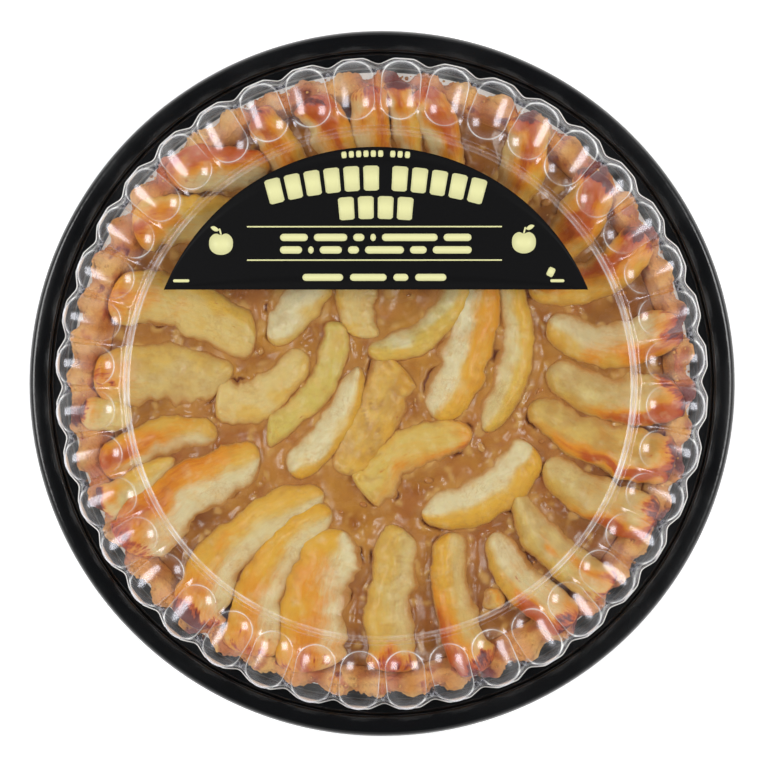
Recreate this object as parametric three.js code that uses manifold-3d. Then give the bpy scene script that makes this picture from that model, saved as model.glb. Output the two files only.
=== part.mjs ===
// An apple tart in its shut pack: a fluted shortbread crust with a soft fruit
// filling and sliced apples, on a white card in a round black tray, under a
// clear dome with forty finger-shaped flutes and a half-round label on top.
// Millimetres, +Z up. The origin is the middle of the tray's underside.

import * as THREE from 'three';
import { mergeVertices } from 'three/addons/utils/BufferGeometryUtils.js';
import Module from 'manifold-3d';

const wasm = await Module();
wasm.setup();

// ---------------------------------------------------------------- sizes

const GAP = 0.3; // between pieces that touch

// Tray: a thin formed plate with a raised rim that the dome sits inside.
const TRAY_RADIUS = 133;
const TRAY_WALL = 0.9;
const TRAY_FLOOR_RADIUS = 118.6;
const TRAY_SEAT_RADIUS = 124.6; // outer edge of the ledge under the dome's foot
const TRAY_SEAT_HEIGHT = 6.6; // top of that ledge
const TRAY_RIM_RADIUS = 129; // highest circle of the rim
const TRAY_RIM_HEIGHT = 10.2;
const TRAY_LIP_HEIGHT = 4.6; // lowest edge of the rolled lip
const TRAY_SEGMENTS = 40;

// Card: a thin white disc between the tray and the tart.
const CARD_RADIUS = 118;
const CARD_THICKNESS = 0.8;
const CARD_BOTTOM = TRAY_WALL + GAP;

// Crust: a shallow cup with an upright fluted wall.
const CRUST_BOTTOM = CARD_BOTTOM + CARD_THICKNESS + GAP;
const CRUST_HEIGHT = 22.6;
const CRUST_FLOOR = 4;
const CRUST_RADIUS = 115.9; // middle of the flutes, at the rim
const CRUST_FLUTES = 48;
const CRUST_FLUTE_DEPTH = 1.6; // either side of CRUST_RADIUS
const CRUST_CROWN_ANGLE = 6.5; // degrees, one flute's crown
const CRUST_INNER_RADIUS = 104; // where the filling meets the crust
const CRUST_COLUMNS = 2 * CRUST_FLUTES;

// Filling: level in the middle, climbing a little to the crust.
const FILL_LEVEL = CRUST_BOTTOM + 13.2;
const FILL_EDGE_LEVEL = CRUST_BOTTOM + 15;
const FILL_SWELL = 0.4; // unevenness of its top
const FILL_RINGS = [25, 50, 75, 92];
const FILL_COLUMNS = 40;

// Apple slices lie on the filling, and the outer ones lean on the rim.
const SLICE_CLEARANCE = 0.6; // over the filling and the crust
const SLICE_GAP = 0.4; // between two slices
const SLICE_RAMP_RADIUS = 88; // where a leaning slice leaves the filling
const SLICE_EDGE = 1.6; // thickness along both long edges
const SLICE_STATIONS = [0, 0.1, 0.32, 0.6, 0.86, 1];

// Dome: a thin clear shell with flat top, raised ring and fingers.
const DOME_WALL = 0.7;
const DOME_TOP = 36.6; // height of the flat top's upper side
const DOME_RING_RISE = 1.2; // of the raised ring round the flat top
const DOME_FLUTES = 40;
const DOME_FINGER_ANGLE = 5; // degrees, one finger's middle
const DOME_FINGER_HALF = 3.3; // degrees from a finger's middle to its side
const DOME_FOOT = TRAY_SEAT_HEIGHT + GAP;
const DOME_FLANGE = 0.8; // thickness of the foot's flange

// Label: a half-round sticker on the dome's flat top.
const LABEL_RADIUS = 84.4;
const LABEL_CENTRE = new THREE.Vector2(-1.5, 3.5);
const LABEL_CHORD_Y = 35.4; // its straight edge
const LABEL_THICKNESS = 0.3;

// ------------------------------------------------------------- materials

const finish = (color, roughness, more = {}) =>
  new THREE.MeshStandardMaterial({ color, roughness, metalness: 0, ...more });

const blackPlastic = finish(0x141516, 0.25);
const whiteCard = finish(0xece9e2, 0.8);
const bakedCrust = finish(0xc99460, 0.85);
const fruitFilling = finish(0xa5703f, 0.3);
const paleApple = finish(0xddc27c, 0.4);
const clearPlastic = finish(0xf4f6f6, 0.08, { transparent: true, opacity: 0.25 });
const blackLabel = finish(0x1a1a1a, 0.45);

// ------------------------------------------------------------ small maths

const radians = THREE.MathUtils.degToRad;
const { smoothstep, lerp } = THREE.MathUtils;

/** A point at a radius, angle (radians) and height. */
const polar = (radius, angle, z) =>
  new THREE.Vector3(radius * Math.cos(angle), radius * Math.sin(angle), z);

/** Straight-line value of y at x along a list of [x, y] points. */
function along(points, x) {
  if (x <= points[0][0]) return points[0][1];
  for (let i = 1; i < points.length; i += 1) {
    const [x0, y0] = points[i - 1];
    const [x1, y1] = points[i];
    if (x <= x1) return lerp(y0, y1, (x - x0) / (x1 - x0));
  }
  return points.at(-1)[1];
}

/** Closed surface through rings of points; a ring of one point is a pole.
 *  Rings run anticlockwise seen from +Z, from the underside up and over. */
function ringSolid(rings) {
  const vertices = [];
  const starts = rings.map((ring) => {
    const start = vertices.length;
    vertices.push(...ring);
    return start;
  });
  const faces = [];
  for (let r = 1; r < rings.length; r += 1) {
    const [low, high] = [starts[r - 1], starts[r]];
    const [lowSize, highSize] = [rings[r - 1].length, rings[r].length];
    const columns = Math.max(lowSize, highSize);
    for (let i = 0; i < columns; i += 1) {
      const next = (i + 1) % columns;
      if (highSize === 1) faces.push(low + i, low + next, high);
      else if (lowSize === 1) faces.push(low, high + next, high + i);
      else faces.push(low + i, low + next, high + next, low + i, high + next, high + i);
    }
  }
  const geometry = new THREE.BufferGeometry().setFromPoints(vertices);
  geometry.setIndex(faces);
  return geometry;
}

/** A ring of points, one for each column, from a function of its angle. */
const ring = (columns, point, start = 0) =>
  Array.from({ length: columns }, (_, i) => point(start + (2 * Math.PI * i) / columns, i));

/** One three.js geometry as a manifold solid. */
function toSolid(geometry) {
  const bare = geometry.clone();
  bare.deleteAttribute('normal');
  bare.deleteAttribute('uv');
  const merged = mergeVertices(bare, 1e-4);
  return new wasm.Manifold(
    new wasm.Mesh({
      numProp: 3,
      vertProperties: new Float32Array(merged.attributes.position.array),
      triVerts: new Uint32Array(merged.index.array),
    }),
  );
}

/** The largest body of a manifold solid as a three.js geometry. */
function toGeometry(solid) {
  const bodies = solid.decompose().sort((a, b) => b.volume() - a.volume());
  const mesh = bodies[0].getMesh();
  const geometry = new THREE.BufferGeometry();
  geometry.setAttribute('position', new THREE.BufferAttribute(mesh.vertProperties, 3));
  geometry.setIndex(new THREE.BufferAttribute(mesh.triVerts, 1));
  return geometry;
}

function piece(name, geometry, material) {
  geometry.computeVertexNormals();
  const mesh = new THREE.Mesh(geometry, material);
  mesh.name = name;
  return mesh;
}

// ------------------------------------------------------------------ tray

/** A wall's closed profile: its upper side, and the same line moved down and
 *  in by the wall, square to the line at each corner. */
function wallProfile(upper, wall) {
  const points = upper.map(([r, z]) => new THREE.Vector2(r, z));
  const square = (from, to) => {
    const run = to.clone().sub(from).normalize();
    return new THREE.Vector2(run.y, -run.x);
  };
  const lower = points.map((point, i) => {
    const before = i > 0 ? square(points[i - 1], point) : null;
    const after = i < points.length - 1 ? square(point, points[i + 1]) : null;
    const mean = (before ?? after).clone().add(after ?? before).normalize();
    return point.clone().addScaledVector(mean, wall / mean.dot(before ?? after));
  });
  return [...lower, ...points.reverse()];
}

/** The plate turned about Z: floor, riser, ledge, upstand, rim, rolled lip. */
function trayGeometry() {
  const upperSide = [
    [0, TRAY_WALL],
    [TRAY_FLOOR_RADIUS, TRAY_WALL],
    [TRAY_FLOOR_RADIUS + 1, TRAY_SEAT_HEIGHT],
    [TRAY_SEAT_RADIUS, TRAY_SEAT_HEIGHT],
    [TRAY_SEAT_RADIUS + 1, TRAY_RIM_HEIGHT - 0.7],
    [TRAY_RIM_RADIUS, TRAY_RIM_HEIGHT],
    [TRAY_RADIUS - 1, TRAY_RIM_HEIGHT - 0.9],
    [TRAY_RADIUS, TRAY_RIM_HEIGHT - 2.6],
    [TRAY_RADIUS, TRAY_LIP_HEIGHT],
  ];
  const profile = wallProfile(upperSide, TRAY_WALL);
  return new THREE.LatheGeometry(profile, TRAY_SEGMENTS).rotateX(Math.PI / 2);
}

// ------------------------------------------------------------------ card

function cardGeometry() {
  const geometry = new THREE.CylinderGeometry(CARD_RADIUS, CARD_RADIUS, CARD_THICKNESS, 40);
  geometry.rotateX(Math.PI / 2);
  return geometry.translate(0, 0, CARD_BOTTOM + CARD_THICKNESS / 2);
}

// ------------------------------------------------- crust and its filling

/** Radius where the filling meets the crust: hand-pressed, so uneven, with
 *  the widest rim on the -X side. */
const crustInner = (angle) =>
  CRUST_INNER_RADIUS +
  0.5 * Math.sin(3 * angle + 1) +
  0.4 * Math.sin(7 * angle) -
  3 * smoothstep(Math.cos(angle - radians(165)), 0.6, 1);

function crustGeometry() {
  const base = CRUST_BOTTOM;
  const top = base + CRUST_HEIGHT;
  const flute = (angle) => Math.cos(CRUST_FLUTES * (angle - radians(CRUST_CROWN_ANGLE)));
  const uneven = (angle) => 0.35 * Math.sin(5 * angle) + 0.3 * Math.sin(11 * angle + 2);
  const fluted = (radius, depth, z) =>
    ring(CRUST_COLUMNS, (a) => polar(radius + depth * flute(a), a, z + (z > base + 20 ? uneven(a) : 0)),
      radians(CRUST_CROWN_ANGLE));
  const inner = (inset, z) =>
    ring(CRUST_COLUMNS, (a) => polar(crustInner(a) - inset, a, z), radians(CRUST_CROWN_ANGLE));
  return ringSolid([
    [new THREE.Vector3(0, 0, base)],
    fluted(CRUST_RADIUS - 3.6, 0.6 * CRUST_FLUTE_DEPTH, base),
    fluted(CRUST_RADIUS - 1, 0.9 * CRUST_FLUTE_DEPTH, base + 10),
    fluted(CRUST_RADIUS, CRUST_FLUTE_DEPTH, top - 2.2),
    fluted(CRUST_RADIUS - 2, 0.8 * CRUST_FLUTE_DEPTH, top),
    fluted(CRUST_RADIUS - 6.7, 0.3 * CRUST_FLUTE_DEPTH, top - 0.5),
    inner(0, base + 15.5),
    inner(1.5, base + CRUST_FLOOR),
    [new THREE.Vector3(0, 0, base + CRUST_FLOOR)],
  ]);
}

/** Height of the filling's top. */
function fillTop(x, y) {
  const radius = Math.hypot(x, y);
  const swell = Math.sin(x / 17 + 1) * Math.cos(y / 21) + 0.5 * Math.sin((x + y) / 13);
  const climb = smoothstep(radius, 80, CRUST_INNER_RADIUS);
  return lerp(FILL_LEVEL + FILL_SWELL * swell, FILL_EDGE_LEVEL, climb);
}

function fillingGeometry() {
  const bottom = CRUST_BOTTOM + CRUST_FLOOR + GAP;
  const side = (inset, z) => ring(FILL_COLUMNS, (a) => polar(crustInner(a) - inset, a, z));
  const surface = FILL_RINGS.map((radius) =>
    ring(FILL_COLUMNS, (a) => {
      const point = polar(radius, a, 0);
      return point.setZ(fillTop(point.x, point.y));
    }),
  ).reverse();
  return ringSolid([
    [new THREE.Vector3(0, 0, bottom)],
    side(2.1, bottom),
    side(0.7, FILL_EDGE_LEVEL),
    ...surface,
    [new THREE.Vector3(0, 0, fillTop(0, 0))],
  ]);
}

// ---------------------------------------------------------- apple slices

// Each slice: outer tip, middle, inner tip [x, y], its width and height, and
// the side its peel is on: 1 left of the run from outer to inner tip, -1 right.
// Ring slices run anticlockwise from +X; a slice is cut clear of those before
// it where they crowd together.
const SLICES = {
  ring_01: [[110, 25], [86, 15], [63, 25], 16, 6.5, 1],
  ring_02: [[97, 56], [81, 40], [55, 37], 14, 6.5, 1],
  ring_03: [[80, 79], [73, 60], [56, 46], 15, 6, 1],
  ring_04: [[54, 100], [52.5, 80], [38, 53], 15, 6, 1],
  ring_05: [[13, 109], [23, 90], [22, 62], 14, 6.5, 1],
  ring_06: [[-4, 110], [-3, 88], [1, 60], 15, 6, 1],
  ring_07: [[5, 113], [10, 94], [13, 68], 10, 5, 1],
  ring_08: [[-28, 104], [-16, 88], [-13, 60], 14, 6, 1],
  ring_09: [[-46, 99], [-34, 82], [-28, 58], 13, 6, 1],
  ring_10: [[-79, 82], [-60, 81], [-42, 79], 15, 6.5, 1],
  ring_11: [[-90, 58], [-72, 62], [-45, 60], 17, 6, 1],
  ring_12: [[-100, 33], [-74, 29], [-48, 15], 20, 6.5, 1],
  ring_13: [[-105, 4], [-80, 3.5], [-57, 1], 21, 6, 1],
  ring_14: [[-110, -11], [-102, -11], [-94, -11], 11, 3.5, 1],
  ring_15: [[-102, -30], [-82, -20], [-62, -19], 12, 5.5, 1],
  ring_16: [[-104, -45], [-92, -37], [-78, -27], 10, 4.5, 1],
  ring_17: [[-89, -68], [-72, -40], [-46, -27.5], 21, 7.5, 1],
  ring_18: [[-62, -94], [-55.5, -63], [-22, -41], 16, 7, 1],
  ring_19: [[-45, -99], [-40, -68], [-19, -48], 12, 6.5, 1],
  ring_20: [[-27, -101], [-24, -76], [-15.5, -56], 20, 7, 1],
  ring_21: [[4, -105], [5, -78], [9, -56], 20, 7, 1],
  ring_22: [[37, -105], [28.5, -80], [28, -56], 17, 6.5, 1],
  ring_23: [[71, -87], [52, -71], [44, -56], 14, 6, 1],
  ring_24: [[85, -76], [63, -61], [53, -43], 13, 6, 1],
  ring_25: [[102, -49], [80, -42], [63, -30], 15, 6.5, 1],
  ring_26: [[107, -30], [82, -22.5], [58, -7], 16, 6.5, 1],
  ring_27: [[111, -3], [87, -3], [64, 8], 16, 6, 1],
  middle_01: [[-61, -4], [-46, -4], [-29, 13], 15, 6, -1],
  middle_02: [[-19, 22], [-24, 0], [-41, -15], 10, 5.5, 1],
  middle_03: [[-10, 6], [-19, -16], [-35, -31], 12, 6.5, 1],
  middle_04: [[5, 7], [-4, -12], [-13, -34], 19, 6.5, 1],
  middle_05: [[33, -20], [10, -25], [-6, -43], 15, 6.5, -1],
  middle_06: [[56, -24], [40, -41], [16, -48], 19, 7, 1],
  middle_07: [[36, 42], [32, 14], [21, -12], 19, 7, 1],
  middle_08: [[47, 37], [50, 10], [39, -16], 12, 5.5, 1],
  middle_09: [[28, 40], [16, 20], [-4, 15], 12, 5.5, 1],
  middle_10: [[-5, 44], [-9, 30], [-5, 18], 15, 6, -1],
  middle_11: [[-25, 43], [-32, 29], [-42, 20], 17, 6.5, 1],
  middle_12: [[40, -77], [42, -80], [43, -83], 8, 3.5, 1],
};

/** Height of what a slice lies on: the filling, then a straight ramp up to
 *  the rim, which a leaning slice bridges. */
function bed(x, y) {
  const radius = Math.hypot(x, y);
  const ramp = [
    [SLICE_RAMP_RADIUS, 0],
    [CRUST_RADIUS - 7.7, CRUST_BOTTOM + CRUST_HEIGHT + 0.2],
    [CRUST_RADIUS, CRUST_BOTTOM + CRUST_HEIGHT + 0.8],
  ];
  ramp[0][1] = fillTop((x / radius) * SLICE_RAMP_RADIUS, (y / radius) * SLICE_RAMP_RADIUS);
  const rest = radius < SLICE_RAMP_RADIUS ? fillTop(x, y) : along(ramp, radius);
  return rest + SLICE_CLEARANCE;
}

/** A slice's plan: middle line point, sideways direction and half width at t,
 *  as a smooth bend through its three points with full, blunt ends. */
function slicePlan([outer, middle, inner, width], t) {
  const [a, m, b] = [outer, middle, inner].map(([x, y]) => new THREE.Vector2(x, y));
  const control = m.clone().multiplyScalar(2).addScaledVector(a, -0.5).addScaledVector(b, -0.5);
  const centre = new THREE.QuadraticBezierCurve(a, control, b);
  const run = centre.getTangent(t);
  const fullness = (1 - Math.abs(2 * t - 1) ** 2.6) ** 0.6;
  return {
    point: centre.getPoint(t),
    sideways: new THREE.Vector2(-run.y, run.x),
    half: (width / 2) * Math.max(fullness, 0.3),
  };
}

/** The wedge carried along its middle line: a ridge nearer the peel, thin
 *  long edges, and an underside that follows the bed. */
function sliceGeometry(row) {
  const [, , , , height, peel] = row;
  const section = [
    [-0.75, 0, 0],
    [0.75, 0, 0],
    [1, SLICE_EDGE, 0],
    [0.25, SLICE_EDGE, 1],
    [-1, SLICE_EDGE, 0],
  ];
  const rings = SLICE_STATIONS.map((t) => {
    const { point, sideways, half } = slicePlan(row, t);
    const arch = Math.max(Math.sin(Math.PI * t) ** 0.6, 0.25);
    return section.map(([across, edge, ridge]) => {
      const at = point.clone().addScaledVector(sideways, across * peel * half);
      const z = bed(at.x, at.y) + edge + ridge * arch * (height - SLICE_EDGE);
      return new THREE.Vector3(at.x, at.y, z);
    });
  });
  const middleOf = (loop) =>
    loop.reduce((sum, p) => sum.add(p), new THREE.Vector3()).divideScalar(loop.length);
  const closed = [[middleOf(rings[0])], ...rings, [middleOf(rings.at(-1))]];
  const geometry = ringSolid(closed);
  if (peel < 0) geometry.index.array.reverse();
  return geometry;
}

/** An upright block over a slice's plan, a little larger all round. */
function sliceKeepOut(row) {
  const side = (sign) =>
    SLICE_STATIONS.map((t) => {
      const { point, sideways, half } = slicePlan(row, t);
      return point.clone().addScaledVector(sideways, sign * (half + SLICE_GAP));
    });
  const outline = [...side(-1), ...side(1).reverse()];
  const overshoot = (end, next) => end.clone().sub(next).setLength(SLICE_GAP).add(end);
  const last = SLICE_STATIONS.length - 1;
  const stretched = [...outline];
  stretched[0] = overshoot(outline[0], outline[1]);
  stretched[last] = overshoot(outline[last], outline[last - 1]);
  stretched[last + 1] = overshoot(outline[last + 1], outline[last + 2]);
  stretched[2 * last + 1] = overshoot(outline[2 * last + 1], outline[2 * last]);
  return new THREE.ExtrudeGeometry(new THREE.Shape(stretched), { depth: 40, bevelEnabled: false });
}

function appleSlices() {
  const material = paleApple;
  const placed = [];
  return Object.entries(SLICES).map(([name, row]) => {
    let solid = toSolid(sliceGeometry(row));
    const box = new THREE.Box3().setFromBufferAttribute(sliceGeometry(row).attributes.position);
    for (const other of placed) {
      if (other.box.intersectsBox(box)) solid = solid.subtract(other.keepOut);
    }
    placed.push({ box, keepOut: toSolid(sliceKeepOut(row)) });
    return piece(`apple_${name}`, toGeometry(solid), material);
  });
}

// ------------------------------------------------------------------ dome

/** The dome's outer side from the flat top out: [radius, height] on a finger
 *  and in the valley beside it, and how much the wall there stands upright. */
const DOME_ROWS = {
  flatTop: { finger: [91, DOME_TOP], valley: [91, DOME_TOP], upright: 0 },
  ringCrest: {
    finger: [93.4, DOME_TOP + DOME_RING_RISE],
    valley: [93.4, DOME_TOP + DOME_RING_RISE],
    upright: 0,
  },
  shoulder: { finger: [95.8, DOME_TOP - 0.2], valley: [95.8, DOME_TOP - 0.2], upright: 0 },
  fingerStart: { finger: [98.2, DOME_TOP - 0.4], valley: [102, DOME_TOP - 2], upright: 0 },
  fingerRise: { finger: [101.5, DOME_TOP + 0.4], valley: [105.5, DOME_TOP - 3.2], upright: 0 },
  fingerEnd: { finger: [115.4, DOME_TOP - 1.6], valley: [114.5, DOME_TOP - 6.8], upright: 0.4 },
  wallTop: { finger: [119.6, DOME_TOP - 6.6], valley: [118.4, DOME_TOP - 11], upright: 0.9 },
  foot: { finger: [121.8, DOME_FOOT + 1.1], valley: [120.1, DOME_FOOT + 1.1], upright: 1 },
  flange: {
    finger: [124, DOME_FOOT + DOME_FLANGE],
    valley: [122, DOME_FOOT + DOME_FLANGE],
    upright: 0,
  },
};

/** One ring of the dome, three columns to a flute: a finger's two sides and
 *  the valley after it, moved in and down from the outer side. */
function domeRing({ finger, valley }, inset = 0, drop = 0) {
  return ring(3 * DOME_FLUTES, (_, i) => {
    const turn = [-DOME_FINGER_HALF, DOME_FINGER_HALF, 180 / DOME_FLUTES][i % 3];
    const [radius, z] = i % 3 === 2 ? valley : finger;
    const degrees = (360 / DOME_FLUTES) * Math.floor(i / 3) + DOME_FINGER_ANGLE + turn;
    return polar(radius - inset, radians(degrees), z - drop);
  });
}

/** The shell: the inner side from the ceiling out, which runs flat under the
 *  raised ring, then round the flange and back over the outer side. */
function domeGeometry() {
  const { shoulder, fingerStart, fingerRise, fingerEnd, wallTop, foot, flange } = DOME_ROWS;
  const [, ceilingHeight] = shoulder.finger;
  const inside = [shoulder, fingerStart, fingerRise, fingerEnd, wallTop].map((row) =>
    domeRing(row, row.upright * DOME_WALL, (1 - row.upright) * DOME_WALL));
  return ringSolid([
    [new THREE.Vector3(0, 0, ceilingHeight - DOME_WALL)],
    ...inside,
    domeRing(foot, DOME_WALL, foot.finger[1] - DOME_FOOT),
    domeRing(flange, 0, DOME_FLANGE),
    ...Object.values(DOME_ROWS).reverse().map((row) => domeRing(row)),
    [new THREE.Vector3(0, 0, DOME_TOP)],
  ]);
}

// ----------------------------------------------------------------- label

function labelGeometry() {
  const rise = LABEL_CHORD_Y - LABEL_CENTRE.y;
  const corner = Math.asin(rise / LABEL_RADIUS);
  const outline = new THREE.Shape();
  outline.absarc(LABEL_CENTRE.x, LABEL_CENTRE.y, LABEL_RADIUS, corner, Math.PI - corner, false);
  outline.closePath();
  const geometry = new THREE.ExtrudeGeometry(outline, {
    depth: LABEL_THICKNESS,
    bevelEnabled: false,
    curveSegments: 28,
  });
  return geometry.translate(0, 0, DOME_TOP + GAP);
}

// -------------------------------------------------------------- assembly

const tart = new THREE.Group();
tart.add(
  piece('tray', trayGeometry(), blackPlastic),
  piece('card', cardGeometry(), whiteCard),
  piece('crust', crustGeometry(), bakedCrust),
  piece('filling', fillingGeometry(), fruitFilling),
  ...appleSlices(),
  piece('dome', domeGeometry(), clearPlastic),
  piece('label', labelGeometry(), blackLabel),
);

export default tart;
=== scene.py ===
"""Looks of an apple tart in its shut clear pack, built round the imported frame.

Every size is in millimetres and is turned into metres when a mesh is made.
The frame has +Z up, with the pack standing on z = 0 and its middle on x = y = 0.
"""

import logging
import math
from dataclasses import dataclass, field
from enum import Enum

import bpy
import numpy as np
from mathutils import Matrix, Vector


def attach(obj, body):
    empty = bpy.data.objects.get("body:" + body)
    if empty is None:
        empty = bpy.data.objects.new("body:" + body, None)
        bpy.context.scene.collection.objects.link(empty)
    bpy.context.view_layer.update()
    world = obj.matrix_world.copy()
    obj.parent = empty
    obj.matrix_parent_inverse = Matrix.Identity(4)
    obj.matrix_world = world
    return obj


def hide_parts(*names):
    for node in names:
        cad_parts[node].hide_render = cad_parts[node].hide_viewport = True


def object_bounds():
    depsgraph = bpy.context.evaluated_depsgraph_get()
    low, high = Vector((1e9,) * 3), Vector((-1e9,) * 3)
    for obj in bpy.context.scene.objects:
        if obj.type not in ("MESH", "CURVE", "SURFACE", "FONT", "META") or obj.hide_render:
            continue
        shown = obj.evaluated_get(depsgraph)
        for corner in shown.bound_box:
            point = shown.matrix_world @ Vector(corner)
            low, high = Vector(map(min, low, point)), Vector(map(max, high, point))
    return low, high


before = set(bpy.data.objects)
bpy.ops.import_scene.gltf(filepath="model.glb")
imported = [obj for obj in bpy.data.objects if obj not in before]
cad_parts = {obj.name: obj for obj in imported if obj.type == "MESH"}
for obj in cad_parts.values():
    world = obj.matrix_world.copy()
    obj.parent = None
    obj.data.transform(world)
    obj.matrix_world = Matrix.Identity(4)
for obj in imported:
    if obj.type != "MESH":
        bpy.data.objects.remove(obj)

LOG = logging.getLogger("apple_tart")
CAD_BOX = [list(corner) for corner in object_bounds()]
MM = 0.001


# ------------------------------------------------------------------ numbers


def smoothstep(value: np.ndarray, low: float, high: float) -> np.ndarray:
    """Smooth 0 to 1 climb of value between low and high: 3t^2 - 2t^3."""
    t = np.clip((value - low) / (high - low), 0.0, 1.0)
    return t * t * (3.0 - 2.0 * t)


def waves(points: np.ndarray, size: float, seed: int, octaves: int = 2) -> np.ndarray:
    """Smooth random field over points, of about -2 to 2 with a spread of 1.

    Each octave is a sum of 14 plane cosines in seeded directions; the next
    one has half the wavelength and half the weight.

    Args:
        points: array whose last axis is a position in mm.
        size: longest wavelength in mm.
        seed: picks the directions and phases.
        octaves: how many sizes are added.

    Returns:
        One value for each position.
    """
    rng = np.random.default_rng(seed)
    total, spread = 0.0, 0.0
    for octave in range(octaves):
        weight = 0.5**octave
        turn = rng.normal(size=(points.shape[-1], 14))
        turn *= rng.uniform(0.7, 1.3, 14) / np.linalg.norm(turn, axis=0)
        turn *= 2.0 * math.pi / (size * weight)
        phase = rng.uniform(0.0, 2.0 * math.pi, 14)
        total = total + weight * np.cos(points @ turn + phase).sum(-1) / math.sqrt(7.0)
        spread += weight**2
    return total / math.sqrt(spread)


def rounded_path(corners: list[tuple], between: list[int]) -> np.ndarray:
    """A path through corners, each cut by a smooth bend.

    A corner is (x, y, cut, steps): the bend leaves the straight line cut mm
    before the corner and joins the next one cut mm after it, as the quadratic
    curve (1-s)^2 a + 2s(1-s) corner + s^2 b in the given number of steps.

    Args:
        corners: the first and the last are the ends of the path.
        between: extra points put evenly on each straight part.

    Returns:
        The path's points, one row each.
    """
    at = np.array([corner[:2] for corner in corners], float)
    points, last = [at[0]], at[0]
    for i in range(1, len(at)):
        cut, steps = corners[i][2:] if i < len(at) - 1 else (0.0, 0)
        before = at[i] + (at[i - 1] - at[i]) / np.linalg.norm(at[i - 1] - at[i]) * cut
        for k in range(1, between[i - 1] + 1):
            points.append(last + (before - last) * k / (between[i - 1] + 1))
        points.append(before)
        last = before
        if steps:
            after = at[i] + (at[i + 1] - at[i]) / np.linalg.norm(at[i + 1] - at[i]) * cut
            s = np.linspace(0.0, 1.0, steps + 1)[1:, None]
            bend = (1 - s) ** 2 * before + 2 * s * (1 - s) * at[i] + s**2 * after
            points.extend(bend)
            last = after
    return np.array(points)


def turned(path: np.ndarray, angles: np.ndarray) -> np.ndarray:
    """A profile of (radius, z) rows carried round the Z axis.

    Args:
        path: (rows, 2) array of radius and height.
        angles: one angle in radians for each column.

    Returns:
        (rows, columns, 3) array of points.
    """
    radius, height = path[:, :1], path[:, 1:]
    return np.stack(
        np.broadcast_arrays(radius * np.cos(angles), radius * np.sin(angles), height), -1
    )


def ring_middles(tube: np.ndarray) -> np.ndarray:
    """Middles of a tube's first and last ring, to close it with.

    Args:
        tube: (rings, points, 3) array.

    Returns:
        (2, points, 3) array: each middle as often as a ring has points.
    """
    return tube[[0, -1]].mean(1, keepdims=True).repeat(tube.shape[1], 1)


def rotation(angle: float) -> np.ndarray:
    """Matrix that turns rows of points by an angle in radians about Z."""
    c, s = math.cos(angle), math.sin(angle)
    return np.array([[c, s, 0.0], [-s, c, 0.0], [0.0, 0.0, 1.0]])


def circle(columns: int, start: float = 0.0) -> np.ndarray:
    """Angles of evenly spaced columns, anticlockwise, in radians."""
    return start + np.arange(columns) * (2.0 * math.pi / columns)


# ------------------------------------------------------------------- meshes


class Surface:
    """Gathers grids of points and turns them into one mesh object.

    Points that fall on each other are joined, so grids that share an edge
    close up and a row of equal points becomes a pole.
    """

    def __init__(self, name: str) -> None:
        """Starts an empty surface.

        Args:
            name: what the piece will be called.
        """
        self.name = name
        self.points: list[np.ndarray] = []
        self.quads: list[np.ndarray] = []
        self.masks: dict[str, list[np.ndarray]] = {}
        self.count = 0

    def grid(
        self, points: np.ndarray, loop: bool = False, flip: bool = False, **masks: np.ndarray
    ) -> "Surface":
        """Adds a (rows, columns, 3) grid; faces point to the side from which
        rows rise upward and columns run to the right.

        Args:
            points: the grid, in mm.
            loop: True joins the last column to the first.
            flip: turns the faces round.
            masks: one number for each point, kept as an attribute.

        Returns:
            The surface itself.
        """
        rows, columns = points.shape[:2]
        index = self.count + np.arange(rows * columns).reshape(rows, columns)
        if loop:
            index = np.concatenate([index, index[:, :1]], axis=1)
        quads = np.stack([index[:-1, :-1], index[:-1, 1:], index[1:, 1:], index[1:, :-1]], -1)
        quads = quads.reshape(-1, 4)
        self.quads.append(quads[:, ::-1] if flip else quads)
        self.points.append(points.reshape(-1, 3))
        for key in sorted(set(self.masks) | set(masks)):
            held = self.masks.setdefault(key, [np.zeros(self.count)] if self.count else [])
            held.append(
                np.broadcast_to(masks.get(key, 0.0), points.shape[:2]).reshape(-1).astype(float)
            )
        self.count += rows * columns
        return self

    def build(
        self, material: bpy.types.Material, *nodes: str, slot: str = ""
    ) -> bpy.types.Object:
        """Makes the mesh object, rides it on the root body and dresses it.

        Args:
            material: the finish of every face.
            nodes: the frame's nodes that this piece stands for.
            slot: the record's material slot, for a piece that stands for none; not used.

        Returns:
            The new object.
        """
        points, quads = np.concatenate(self.points), np.concatenate(self.quads)
        key = np.round(points / 1e-4).astype(np.int64)
        _, first, joined = np.unique(key, axis=0, return_index=True, return_inverse=True)
        points, quads = points[first], joined.reshape(-1)[quads]
        corner = quads != np.roll(quads, 1, axis=1)
        quads, corner = quads[corner.sum(1) > 2], corner[corner.sum(1) > 2]
        sizes = corner.sum(1)
        mesh = bpy.data.meshes.new(self.name)
        mesh.vertices.add(len(points))
        mesh.vertices.foreach_set("co", (points * MM).ravel())
        mesh.loops.add(int(sizes.sum()))
        mesh.loops.foreach_set("vertex_index", quads[corner])
        mesh.polygons.add(len(sizes))
        mesh.polygons.foreach_set("loop_start", np.concatenate([[0], np.cumsum(sizes)[:-1]]))
        mesh.polygons.foreach_set("use_smooth", np.ones(len(sizes), bool))
        mesh.update(calc_edges=True)
        for name, held in self.masks.items():
            layer = mesh.attributes.new(name, "FLOAT", "POINT")
            layer.data.foreach_set("value", np.concatenate(held)[first])
        mesh.materials.append(material)
        piece = bpy.data.objects.new(self.name, mesh)
        bpy.context.collection.objects.link(piece)
        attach(piece, "root")
        if nodes:
            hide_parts(*nodes)
        LOG.info("%s: %d points, %d faces", self.name, len(points), len(sizes))
        return piece


# ---------------------------------------------------------------- materials


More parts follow.
